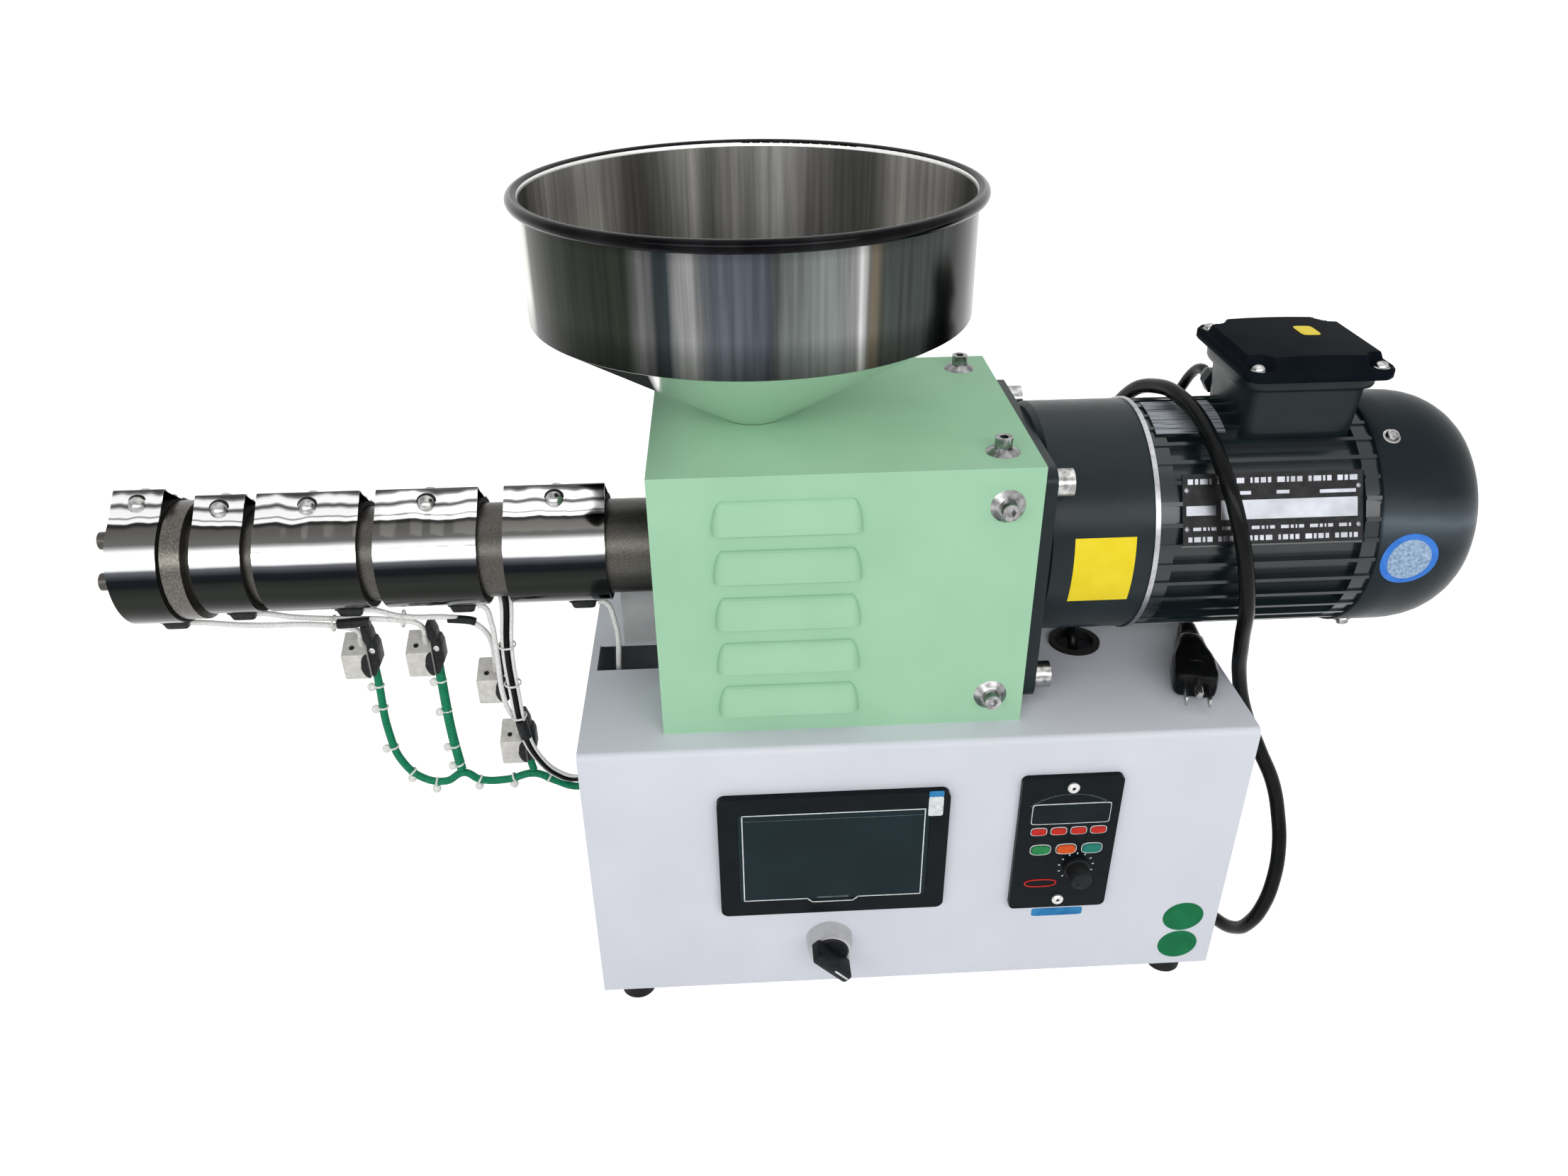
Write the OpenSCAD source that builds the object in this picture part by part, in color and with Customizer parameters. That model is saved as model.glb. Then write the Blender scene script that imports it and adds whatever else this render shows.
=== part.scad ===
// Desktop filament extruder: a barrel with five band heaters, a hopper and a gear motor
// stand on a steel cabinet that holds the controls. Its front looks towards -Y and its
// motor end towards +X. The origin is at floor level, under the middle of the cabinet.

/* [Cabinet] */
// Width of the cabinet, left to right
cabinet_w = 415; // [400:5:480]
// Depth of the cabinet, front to back
cabinet_d = 220; // [210:5:280]
// Height of the cabinet without its feet
cabinet_h = 200; // [180:5:260]
// Thickness of the cabinet's sheet steel
sheet = 1.5; // [1:0.1:2.5]
// Outer radius of the cabinet's bent edges
bend_r = 4; // [3:0.5:8]
// Diameter of a rubber foot at its top
foot_d = 25; // [18:1:30]
// Height of a rubber foot
foot_h = 20; // [12:1:30]
// Distance from the cabinet's sides to the middle of a foot
foot_inset = 21; // [18:1:40]
// Diameter of the screw hole through a foot
foot_hole_d = 5.5; // [4.5:0.5:8]
// Width of the wire slot in the cabinet's top
slot_w = 31; // [20:1:34]
// Length of the wire slot
slot_l = 100; // [60:5:120]
// Distance from the cabinet's left side to the wire slot
slot_margin = 5; // [4:1:20]
// Diameter of the cable hole beside the cover
cable_hole_d = 30; // [20:1:36]

/* [Barrel] */
// Height of the barrel's axis above the cabinet
axis_h = 83; // [82:1:110]
// Outer diameter of the barrel
barrel_d = 60; // [50:1:66]
// Diameter of the barrel's bore
bore_d = 25; // [16:1:30]
// Length of each of the three long band heaters
long_band = 62; // [40:1:70]
// Length of the short band heater and of the die heater
short_band = 30; // [20:1:34]
// Wall of a band heater
band_t = 4.5; // [3:0.5:7]
// Free barrel between the cover and the first band heater
barrel_free = 32; // [20:1:50]
// Free barrel between the first and the second band heater
gap_first = 16; // [8:1:24]
// Free barrel between the second and the third band heater
gap_second = 10; // [8:1:24]
// Free barrel between the third and the short band heater
gap_third = 7; // [5:1:16]
// Thickness of the ring that joins die and barrel
ring_t = 12; // [8:1:20]
// Diameter of that ring
ring_d = 75; // [72:1:84]
// Diameter of the die head
die_d = 70; // [68:1:76]
// Diameter of the hole that the filament leaves by
orifice_d = 3; // [1:0.5:4]

/* [Cover] */
// Width of the cover, left to right
cover_w = 219; // [205:1:240]
// Depth of the cover, front to back
cover_d = 181; // [174:1:200]
// Height of the cover
cover_h = 170.5; // [165:0.5:200]
// Thickness of the cover's sheet steel
cover_t = 1.5; // [1:0.1:2.5]
// Distance from the cabinet's middle to the cover's middle
cover_shift = -46.5; // [-60:0.5:-35]
// Length of a louvre
louvre_l = 84; // [60:1:120]
// Height of a louvre
louvre_h = 19; // [12:1:22]
// Distance between louvres
louvre_pitch = 30.5; // [25:0.5:32]
// Reach of a louvre out of the cover
louvre_out = 6; // [4:0.5:9]

/* [Hopper] */
// Diameter of the hopper's wall
hopper_d = 252; // [200:2:280]
// Height of the hopper's straight wall
hopper_wall_h = 65; // [40:1:100]
// Height of the hopper's cone
hopper_cone_h = 67; // [50:1:90]
// Diameter of the hopper's neck
neck_d = 38; // [30:1:44]
// Thickness of the hopper's sheet
hopper_t = 1.5; // [1:0.1:2.5]
// Diameter of the rolled rim
rim_d = 7; // [4:0.5:10]
// Distance from the cover's left side to the hopper's axis
hopper_in = 61.5; // [50:0.5:80]

/* [Drive] */
// Side of the square gearbox flange
flange_side = 156; // [150:1:164]
// Thickness of the gearbox flange
flange_t = 8; // [6:1:14]
// Distance from the flange's middle to a flange screw
flange_screw_off = 66; // [64:1:70]
// Diameter of the gearbox and the motor
motor_d = 146; // [130:1:150]
// Height of the motor's axis above the barrel's axis
motor_rise = 12; // [8:1:16]
// Length of the gearbox
gearbox_l = 63; // [50:1:90]
// Length of the finned motor body
motor_l = 133; // [120:1:170]
// Length of the fan cowl
cowl_l = 70; // [45:1:80]
// Height of a cooling fin
fin_h = 6; // [4:0.5:10]
// Thickness of a cooling fin
fin_t = 2.4; // [1.6:0.2:4]
// Width of the terminal box, along the motor
terminal_w = 74; // [50:1:80]
// Depth of the terminal box, across the motor
terminal_d = 66; // [50:1:80]
// Height of the terminal box above the motor
terminal_h = 29; // [20:1:45]
// Distance from the motor's front end to the middle of the terminal box
terminal_in = 90.5; // [70:0.5:100]
// Reach of the lid past the terminal box, along the motor
lid_over = 7; // [3:0.5:10]
// Reach of the lid past the terminal box, across the motor
lid_over_d = 13; // [3:0.5:14]
// Thickness of the lid's rim
lid_t = 7; // [4:0.5:12]
// Height of the lid's raised middle above its rim
lid_rise = 6; // [2:0.5:10]

/* [Controls] */
// Height of the middle of both instruments above the cabinet's lower edge
instrument_h = 117.5; // [100:0.5:130]
// Height of the selector switch above the cabinet's lower edge
selector_up = 39.5; // [30:0.5:44]
// Width of the touch screen's bezel
screen_w = 144; // [120:1:160]
// Height of the touch screen's bezel
screen_h = 97; // [80:1:110]
// Thickness of the bezel
bezel_t = 5; // [3:0.5:8]
// Width of the speed panel
panel_w = 63.5; // [56:0.5:72]
// Height of the speed panel
panel_h = 109; // [100:1:116]
// Thickness of the speed panel
panel_t = 4; // [2:0.5:6]
// Diameter of the speed knob
knob_d = 16.5; // [14:0.5:20]
// Height of the speed knob
knob_h = 14; // [10:1:20]
// Diameter of the selector switch's rim
selector_d = 31; // [26:1:36]
// Reach of the selector switch's rim
selector_h = 12; // [8:1:16]
// Length of the selector switch's handle
handle_l = 30; // [26:1:36]
// Reach of the handle past the rim
handle_h = 15; // [10:1:22]

/* [Hidden] */
$fn = 64;

// Small clearance between seated solids, and how far a cut passes its faces
fit = 0.3;
past = 1;

// Levels
cabinet_top = foot_h + cabinet_h;
axis_z = cabinet_top + axis_h;
motor_z = axis_z + motor_rise;
cover_top = cabinet_top + cover_h;
face_y = -cabinet_d / 2;

// Places along the barrel, from the cover towards the die
cover_left = cover_shift - cover_w / 2;
cover_right = cover_left + cover_w;
hopper_x = cover_left + hopper_in;
band_1 = cover_left - barrel_free - long_band;
band_2 = band_1 - gap_first - long_band;
band_3 = band_2 - gap_second - long_band;
band_4 = band_3 - gap_third - short_band;
ring_gap = 4;
ring_x = band_4 - ring_gap - ring_t;
die_gap = 1.5;
die_band_x = ring_x - die_gap - short_band;
die_lip = 2;
die_x = die_band_x - die_lip;

// Feed block and thrust housing inside the cover
block_side = 84;
block_l = 108;
block_x = cover_left + 10;
housing_side = 118;
housing_x = block_x + block_l;

// Places along the drive, from the flange to the fan cowl
flange_gap = 3;
flange_x = cover_right + flange_gap;
gearbox_x = flange_x + flange_t;
motor_ring_x = gearbox_x + gearbox_l;
motor_ring_t = 3;
motor_x = motor_ring_x + motor_ring_t;
cowl_x = motor_x + motor_l;
terminal_x = motor_x + terminal_in;
terminal_z = motor_z + motor_d / 2;

// Middle of the instruments on the cabinet's front, and of each of them
instrument_z = foot_h + instrument_h;
screen_x = -53.5;
panel_x = 94.5;
selector_x = -55;
selector_z = foot_h + selector_up;
knob_right = 9;
knob_low = 19;
knob_x = panel_x + knob_right;
knob_z = instrument_z - knob_low;

// Fastener sizes
cap_d = 10;
cap_h = 6;

// ---------- Shapes that repeat ----------

module along_x(x, y, z) { translate([x, y, z]) rotate([0, 90, 0]) children(); }

module out_of_front(x, z, y = face_y) { translate([x, y, z]) rotate([90, 0, 0]) children(); }

module round_plate(size, r, t) {
    corner = [size[0] / 2 - r, size[1] / 2 - r];
    linear_extrude(t) {
        square([size[0], size[1] - 2 * r], center = true);
        square([size[0] - 2 * r, size[1]], center = true);
        for (sx = [-1, 1], sy = [-1, 1]) translate([sx * corner[0], sy * corner[1]]) circle(r);
    }
}

module socket_head(head_d, head_h) {
    socket_share = 0.55;
    difference() {
        cylinder(d = head_d, h = head_h);
        translate([0, 0, head_h / 2]) cylinder(d = head_d * socket_share, h = head_h, $fn = 6);
    }
}

// ---------- Cabinet ----------

slot_x = -cabinet_w / 2 + slot_margin;
slot_front = -19;
cable_hole_x = 119.5;
cable_hole_y = -6;
gland_hole_d = 16;
side_t = sheet;

module bent_profile(inset) {
    r = bend_r - inset;
    depth = cabinet_d / 2 - inset;
    high = cabinet_h - inset;
    translate([-depth, inset > 0 ? -past : 0]) square([2 * depth, high - r + (inset > 0 ? past : 0)]);
    translate([-depth + r, 0]) square([2 * (depth - r), high]);
    for (side = [-1, 1]) translate([side * (depth - r), high - r]) circle(r);
}

module cabinet_shell() {
    color("ghostwhite") difference() {
        translate([-cabinet_w / 2, 0, foot_h]) rotate([90, 0, 90]) linear_extrude(cabinet_w) difference() {
            bent_profile(0);
            bent_profile(sheet);
            translate([0, -past]) square([cabinet_d, cabinet_h - bend_r + past]);
        }
        translate([slot_x, slot_front, cabinet_top - bend_r]) cube([slot_l, slot_w, 2 * bend_r]);
        translate([cable_hole_x, cable_hole_y, cabinet_top - bend_r])
            cylinder(d = cable_hole_d, h = 2 * bend_r);
        front_cut(screen_x, instrument_z, screen_w - 2 * screen_lap, screen_h - 2 * screen_lap);
        front_cut(panel_x, instrument_z, panel_w - 2 * panel_lap, panel_h - 2 * panel_keep);
        out_of_front(selector_x, selector_z, face_y + 2 * sheet)
            cylinder(d = selector_neck_d + 2 * fit, h = 3 * sheet);
    }
}

module front_cut(x, z, w, h) {
    translate([x - w / 2, face_y - past, z - h / 2]) cube([w, sheet + 2 * past, h]);
}

module cabinet_side(side, hole_y, hole_z, hole_d) {
    inner = cabinet_w / 2 - side_t;
    color("ghostwhite") difference() {
        intersection() {
            translate([side > 0 ? inner : -cabinet_w / 2, 0, foot_h]) rotate([90, 0, 90])
                linear_extrude(side_t) side_profile();
            translate([-cabinet_w, -cabinet_d, 0]) cube([2 * cabinet_w, 2 * cabinet_d, cabinet_top]);
        }
        along_x(side * cabinet_w / 2 - 2 * side_t, hole_y, hole_z) cylinder(d = hole_d, h = 4 * side_t);
    }
}

// A side closes the bent shell from inside, so it follows the shell's inner line
module side_profile() {
    depth = cabinet_d / 2 - sheet;
    high = cabinet_h - sheet;
    translate([-depth, 0]) square([2 * depth, high - bend_r]);
    translate([-depth + bend_r, 0]) square([2 * (depth - bend_r), high]);
    for (side = [-1, 1]) translate([side * (depth - bend_r), high - bend_r]) circle(bend_r - sheet);
}

module cabinet_left_side() { cabinet_side(-1, harness_y, harness_z, gland_hole_d); }

module cabinet_right_side() { cabinet_side(1, cord_y, cord_z, gland_hole_d); }

module cabinet_back() {
    vent_n = 6;
    vent_l = 60;
    vent_w = 4;
    vent_pitch = 12;
    color("ghostwhite") difference() {
        translate([-cabinet_w / 2 + side_t, cabinet_d / 2 - sheet, foot_h])
            cube([cabinet_w - 2 * side_t, sheet, cabinet_h - bend_r]);
        for (side = [-1, 1], i = [0:vent_n - 1])
            translate([side * cabinet_w / 4 - vent_l / 2, cabinet_d / 2 - 2 * sheet,
                       foot_h + cabinet_h / 4 + i * vent_pitch]) cube([vent_l, 3 * sheet, vent_w]);
    }
}

module cabinet_base() {
    color("ghostwhite") difference() {
        translate([-cabinet_w / 2 + side_t, face_y + sheet, foot_h])
            cube([cabinet_w - 2 * side_t, cabinet_d - 2 * sheet, 2 * sheet]);
        at_feet() translate([0, 0, foot_h - past]) cylinder(d = foot_hole_d, h = 2 * sheet + 2 * past);
    }
}

module at_feet() {
    for (sx = [-1, 1], sy = [-1, 1])
        translate([sx * (cabinet_w / 2 - foot_inset), sy * (cabinet_d / 2 - foot_inset), 0]) children();
}

module rubber_feet() {
    taper = 2;
    color("black") at_feet() difference() {
        cylinder(d1 = foot_d - taper, d2 = foot_d, h = foot_h);
        translate([0, 0, -past]) cylinder(d = foot_hole_d, h = foot_h + 2 * past);
    }
}

module cable_grommet() {
    lip = 2;
    wall = 2;
    color("black") translate([cable_hole_x, cable_hole_y, cabinet_top]) difference() {
        union() {
            cylinder(d = cable_hole_d + 2 * lip, h = lip);
            translate([0, 0, -3 * sheet]) cylinder(d = cable_hole_d - 2 * fit, h = 3 * sheet);
        }
        translate([0, 0, -4 * sheet]) cylinder(d = cable_hole_d - 2 * wall, h = 6 * sheet + lip);
    }
}

// ---------- Barrel and what carries it ----------

module barrel_pedestal() {
    plate_t = 8;
    plate_y = slot_front + slot_w + 1;
    foot_t = 5;
    foot_l = 36;
    left = band_1 + long_band + 2;
    plate_right = housing_x;
    color("slategray") difference() {
        union() {
            translate([left, plate_y, cabinet_top]) cube([plate_right - left, plate_t, axis_h]);
            translate([block_x, plate_y, cabinet_top]) cube([plate_right - block_x, foot_l, foot_t]);
        }
        along_x(left - past, 0, axis_z) cylinder(d = barrel_d + 2 * fit, h = block_x - left + past);
        translate([block_x, -block_side / 2, axis_z - block_side / 2])
            cube([plate_right - block_x + past, block_side, block_side]);
        translate([left - past, plate_y - past, axis_z - 2 * fit])
            cube([plate_right, plate_t + 2 * past, axis_h]);
    }
}

module feed_block() {
    color("dimgray") difference() {
        translate([block_x, -block_side / 2, axis_z - block_side / 2])
            cube([block_l, block_side, block_side]);
        along_x(block_x - past, 0, axis_z) cylinder(d = barrel_d + 2 * fit, h = block_l + 2 * past);
        translate([hopper_x, 0, axis_z]) cylinder(d = neck_d - 2 * hopper_t, h = block_side);
    }
}

module thrust_housing() {
    foot_w = 90;
    color("dimgray") {
        along_x(housing_x, 0, axis_z) linear_extrude(flange_x - housing_x)
            square(housing_side, center = true);
        translate([housing_x, -foot_w / 2, cabinet_top])
            cube([cover_right - housing_x - 6, foot_w, axis_h - housing_side / 2]);
    }
}

module barrel_tube() {
    color("dimgray") difference() {
        along_x(ring_x + ring_t, 0, axis_z) cylinder(d = barrel_d, h = housing_x - ring_x - ring_t);
        along_x(ring_x, 0, axis_z) cylinder(d = bore_d, h = housing_x - ring_x + past);
        translate([hopper_x, 0, axis_z]) cylinder(d = neck_d - 2 * hopper_t, h = barrel_d);
    }
}

module feed_screw() {
    color("silver") along_x(ring_x + ring_t, 0, axis_z)
        cylinder(d = bore_d - 2 * fit, h = housing_x - ring_x - ring_t);
}

// A band of polished sheet round the barrel: both ends of the sheet are bent up from it and
// meet in a ridge on top, with a clamp bolt through them and a terminal box below
ridge_h = 9.5;
ridge_w = 3;
ridge_t = 1.5;
bolt_up = 3;
outlet_h = 8;
outlet_w = 18;
outlet_d = 16;
outlet_shift = 11;
short_outlet_shift = -4;

// How far round from the top a bent-up end of the sheet starts, and its hollow side
flap_lean = 25;
hollow_lean = 20;

function ridge_foot(r, lean) = (r - fit) * [sin(lean), cos(lean)];

module ridge(r, h, w, lean) {
    foot = ridge_foot(r, lean);
    polygon([[-foot[0], 0], [-foot[0], foot[1]], [-w / 2, h], [w / 2, h], foot, [foot[0], 0]]);
}

module band(x, l, inner_d, outer_d, outlet_x) {
    r = outer_d / 2;
    bolt_d = 5;
    dome_r = 5;
    foot = ridge_foot(r, flap_lean);
    slope = (foot[0] - ridge_w / 2) / (r + ridge_h - foot[1]);
    bolt_reach = ridge_w / 2 + slope * (ridge_h - bolt_up);
    color("gainsboro") {
        difference() {
            union() {
                along_x(x, 0, axis_z) cylinder(d = outer_d, h = l);
                translate([x, 0, axis_z]) rotate([90, 0, 90]) linear_extrude(l)
                    ridge(r, r + ridge_h, ridge_w, flap_lean);
            }
            along_x(x - past, 0, axis_z) cylinder(d = inner_d + fit, h = l + 2 * past);
            difference() {
                translate([x - past, 0, axis_z]) rotate([90, 0, 90]) linear_extrude(l + 2 * past)
                    ridge(r, r + ridge_h - 2 * ridge_t, ridge_w - 2 * ridge_t + fit, hollow_lean);
                along_x(x - 2 * past, 0, axis_z) cylinder(d = outer_d, h = l + 4 * past);
            }
        }
        translate([x + l / 2, 0, axis_z + r + bolt_up]) {
            rotate([90, 0, 0]) cylinder(d = bolt_d, h = 2 * bolt_reach, center = true);
            for (side = [-1, 1]) translate([0, side * bolt_reach, 0]) sphere(dome_r);
        }
    }
    color("dimgray") difference() {
        translate([outlet_x - outlet_w / 2, -outlet_d / 2, axis_z - r - outlet_h])
            cube([outlet_w, outlet_d, outlet_h + band_t]);
        along_x(x - past, 0, axis_z) cylinder(r = r - fit / 2, h = l + 2 * past);
    }
}

band_d = barrel_d + 2 * band_t;
die_band_d = die_d + 2 * band_t;

module long_band_heater(x) { band(x, long_band, barrel_d, band_d, x + long_band / 2 + outlet_shift); }

module band_heater_1() { long_band_heater(band_1); }

module band_heater_2() { long_band_heater(band_2); }

module band_heater_3() { long_band_heater(band_3); }

module short_band_heater() {
    band(band_4, short_band, barrel_d, band_d, band_4 + short_band / 2 + short_outlet_shift);
}

module die_band_heater() {
    band(die_band_x, short_band, die_d, die_band_d, die_band_x + short_band / 2);
}

module die_ring() {
    color("dimgray") difference() {
        along_x(ring_x, 0, axis_z) cylinder(d = ring_d, h = ring_t);
        along_x(ring_x - past, 0, axis_z) cylinder(d = bore_d, h = ring_t + 2 * past);
    }
}

// The die head narrows to a nozzle with the hole that the filament leaves by
nozzle_out = 12;

module die_head() {
    cone_d = 26;
    tip_d = 12;
    color("gray") difference() {
        union() {
            along_x(die_x, 0, axis_z) cylinder(d = die_d, h = ring_x - die_x);
            along_x(die_x - nozzle_out, 0, axis_z) cylinder(d1 = tip_d, d2 = cone_d, h = nozzle_out);
        }
        along_x(die_x - nozzle_out - past, 0, axis_z)
            cylinder(d = orifice_d, h = nozzle_out + ring_x - die_x + 2 * past);
    }
}

die_bolt_r = 25;
die_bolts_n = 6;

module die_bolts() {
    bolt_d = 11;
    bolt_h = 8;
    color("gray") for (i = [0:die_bolts_n - 1]) {
        turn = 360 * (i + 0.5) / die_bolts_n;
        translate([die_x, die_bolt_r * sin(turn), axis_z + die_bolt_r * cos(turn)]) rotate([0, -90, 0])
            cylinder(d = bolt_d, h = bolt_h);
    }
}

// ---------- Hopper ----------

hopper_r = hopper_d / 2;
cone_z = cover_top;
wall_z = cone_z + hopper_cone_h;
rim_z = wall_z + hopper_wall_h;
neck_r = neck_d / 2;

module hopper() {
    t = hopper_t;
    low = axis_z + block_side / 2;
    rim_r = rim_d / 2;
    color("silver") translate([hopper_x, 0, 0]) rotate_extrude($fn = 96) {
        polygon([[neck_r - t, low], [neck_r, low], [neck_r, cone_z], [hopper_r, wall_z], [hopper_r, rim_z],
                 [hopper_r - t, rim_z], [hopper_r - t, wall_z], [neck_r - t, cone_z]]);
        translate([hopper_r + rim_r - t, rim_z]) circle(rim_r);
    }
}

// ---------- Cover ----------

cover_seat_d = 20;

// One louvre: the sheet is pressed out in a quarter round that is open along its lower lip
module louvre() {
    span = louvre_l / 2 - louvre_out;
    for (side = [-1, 1]) translate([side * span, 0, 0]) rotate([0, 0, side > 0 ? 270 : 180])
        rotate_extrude(angle = 90) louvre_profile();
    translate([-span, 0, 0]) rotate([90, 0, 90]) linear_extrude(2 * span)
        mirror([1, 0]) louvre_profile();
}

module louvre_profile() {
    steps = 8;
    outer = [for (i = [0:steps]) [louvre_out * cos(90 * i / steps), louvre_h * sin(90 * i / steps)]];
    inner = [for (i = [steps:-1:0]) [(louvre_out - cover_t) * cos(90 * i / steps),
                                     (louvre_h - cover_t) * sin(90 * i / steps)]];
    polygon(concat(outer, inner));
}

louvres_n = 5;
louvre_low = 15;

module cover() {
    inner_w = cover_w - 2 * cover_t;
    inner_d = cover_d - 2 * cover_t;
    hole_h = louvre_h - 2 * cover_t;
    color("palegreen") {
        difference() {
            translate([cover_left, -cover_d / 2, cabinet_top]) cube([cover_w, cover_d, cover_h]);
            translate([cover_left + cover_t, -inner_d / 2, cabinet_top - past])
                cube([inner_w, inner_d, cover_h - cover_t + past]);
            translate([hopper_x, 0, cover_top - past - cover_t])
                cylinder(d = neck_d + 2 * fit, h = cover_t + 2 * past);
            barrel_gate();
            drive_gate();
            for (side = [-1, 1], i = [0:louvres_n - 1])
                translate([louvre_x - louvre_l / 2 + louvre_out, side * cover_d / 2 - 2 * cover_t,
                           cabinet_top + louvre_low + i * louvre_pitch])
                    cube([louvre_l - 2 * louvre_out, 4 * cover_t, hole_h]);
        }
        for (turn = [0, 180], i = [0:louvres_n - 1])
            translate([louvre_x, 0, cabinet_top + louvre_low + i * louvre_pitch]) rotate([0, 0, turn])
                translate([0, -cover_d / 2, 0]) louvre();
    }
}

louvre_x = hopper_x + 15;

module barrel_gate() {
    gate_w = barrel_d + 6;
    translate([cover_left - past, -gate_w / 2, cabinet_top - past])
        cube([cover_t + 2 * past, gate_w, axis_h + past]);
    along_x(cover_left - past, 0, axis_z) cylinder(d = gate_w, h = cover_t + 2 * past);
}

module drive_gate() {
    gate = housing_side + 4;
    translate([cover_right - cover_t - past, -gate / 2, cabinet_top - past])
        cube([cover_t + 2 * past, gate, axis_h + gate / 2 + past]);
}

cover_screw_in = 20;
cover_screw_low = 20;
cover_screw_drop = 23;

module cover_screws() {
    seat_h = 3;
    front_z = [cabinet_top + cover_screw_low, cover_top - cover_screw_drop];
    color("silver") {
        for (turn = [0, 180], z = front_z) rotate([0, 0, turn])
            translate([turn == 0 ? cover_right - cover_screw_in : -cover_right + cover_screw_in,
                       -cover_d / 2, z]) rotate([90, 0, 0]) cover_screw(seat_h);
        for (side = [-1, 1])
            translate([cover_right - cover_screw_in, side * cover_screw_y, cover_top]) cover_screw(seat_h);
    }
}

cover_screw_y = 68;

module cover_screw(seat_h) {
    cylinder(d1 = cover_seat_d, d2 = cap_d + 2, h = seat_h);
    translate([0, 0, seat_h]) socket_head(cap_d, cap_h);
}

// ---------- Drive ----------

module gearbox_flange() {
    corner_r = 10;
    color("#262c30") along_x(flange_x, 0, axis_z) round_plate([flange_side, flange_side], corner_r, flange_t);
}

module flange_screws() {
    head_d = 17;
    head_h = 11;
    color("silver") for (sy = [-1, 1], sz = [-1, 1])
        along_x(gearbox_x, sy * flange_screw_off, axis_z + sz * flange_screw_off)
            socket_head(head_d, head_h);
}

module gearbox() {
    chamfer = 3;
    r = motor_d / 2;
    color("#262c30") along_x(gearbox_x, 0, motor_z) rotate_extrude($fn = 96)
        polygon([[0, 0], [r - chamfer, 0], [r, chamfer], [r, gearbox_l], [0, gearbox_l]]);
}

module motor_ring() {
    color("silver") along_x(motor_ring_x, 0, motor_z) cylinder(d = motor_d + 2, h = motor_ring_t, $fn = 96);
}

fin_pitch = 10;

core_r = motor_d / 2 - fin_h;

module motor_body() {
    end_t = 10;
    color("#262c30") difference() {
        union() {
            along_x(motor_x, 0, motor_z) cylinder(r = core_r, h = motor_l, $fn = 96);
            for (x = [motor_x, cowl_x - end_t]) along_x(x, 0, motor_z)
                cylinder(d = motor_d - fin_h / 2, h = end_t, $fn = 96);
            for (turn = [0:fin_pitch:359]) translate([motor_x, 0, motor_z]) rotate([turn, 0, 0])
                translate([0, -fin_t / 2, core_r - past]) cube([motor_l, fin_t, fin_h + past - fit]);
        }
        at_nameplate() translate([-nameplate[0] / 2 - 1, -nameplate[1] / 2 - 1, 0])
            cube([nameplate[0] + 2, nameplate[1] + 2, 2 * fin_h]);
    }
}

// Length, height and thickness of the nameplate, which sits in a flat cut across the fins
nameplate = [108, 42, 1.5];
nameplate_turn = 63;

module at_nameplate() {
    translate([motor_x + motor_l / 2 + 2, 0, motor_z]) rotate([nameplate_turn, 0, 0])
        translate([0, 0, core_r + 1]) children();
}

module motor_nameplate() {
    color("silver") at_nameplate() translate([-nameplate[0] / 2, -nameplate[1] / 2, 0]) cube(nameplate);
}

cowl_cone = 31;

module fan_cowl() {
    r = motor_d / 2 + 1;
    t = 1.5;
    end_r = r - 13;
    edge = 10;
    slots_n = 20;
    slot_in = 20;
    slot_out = end_r - edge - 4;
    color("#262c30") difference() {
        along_x(cowl_x, 0, motor_z) rotate_extrude($fn = 96) difference() {
            dome(r, end_r, cowl_l, edge);
            translate([0, -past]) dome(r - t, end_r - t, cowl_l - t + past, edge - t);
        }
        for (i = [0:slots_n - 1]) translate([cowl_x + cowl_l, 0, motor_z]) rotate([i * 360 / slots_n, 0, 0])
            translate([-2 * t - past, -t, slot_in]) cube([2 * t + 2 * past, 2 * t, slot_out - slot_in]);
    }
}

// Half the outline of a drum that narrows from r to end_r over its last cowl_cone
module dome(r, end_r, h, edge) {
    square([r, h - cowl_cone]);
    hull() {
        square([r, h - cowl_cone]);
        square([end_r - edge, h]);
        translate([end_r - edge, h - edge]) circle(edge, $fn = 48);
    }
}

module motor_fan() {
    hub_d = 40;
    hub_l = 30;
    blades_n = 8;
    blade_t = 2.5;
    blade_r = motor_d / 2 - 9;
    blade_l = 24;
    color("#30363a") {
        along_x(cowl_x, 0, motor_z) cylinder(d = hub_d, h = hub_l);
        for (i = [0:blades_n - 1]) translate([cowl_x + hub_l - blade_l, 0, motor_z])
            rotate([i * 360 / blades_n, 0, 0]) translate([0, -blade_t / 2, hub_d / 2 - past])
            cube([blade_l, blade_t, blade_r - hub_d / 2]);
    }
}

terminal_top = terminal_z + terminal_h;

// The motor's cable leaves the box's back through a screwed entry
entry_x = terminal_x - 29;
entry_z = terminal_z + 2;
entry_l = 14;

// A collar round the box's upper edge carries the lid
module terminal_box() {
    r = 6;
    entry_d = 16;
    entry_nut = 5;
    collar_h = 9;
    collar_out = 4;
    color("#262c30") difference() {
        union() {
            translate([terminal_x, 0, motor_z])
                round_plate([terminal_w, terminal_d], r, terminal_top - motor_z);
            translate([terminal_x, 0, terminal_top - collar_h])
                round_plate([terminal_w + 2 * collar_out, terminal_d + 2 * collar_out], r, collar_h);
            translate([entry_x, terminal_d / 2 - past, entry_z]) rotate([-90, 0, 0]) {
                cylinder(d = entry_d, h = entry_nut + past, $fn = 6);
                cylinder(d1 = entry_d - 2, d2 = motor_cable_d + 2, h = entry_l + past);
            }
        }
        along_x(terminal_x - terminal_w, 0, motor_z)
            cylinder(d = motor_d, h = 2 * terminal_w, $fn = 96);
    }
}

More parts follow.
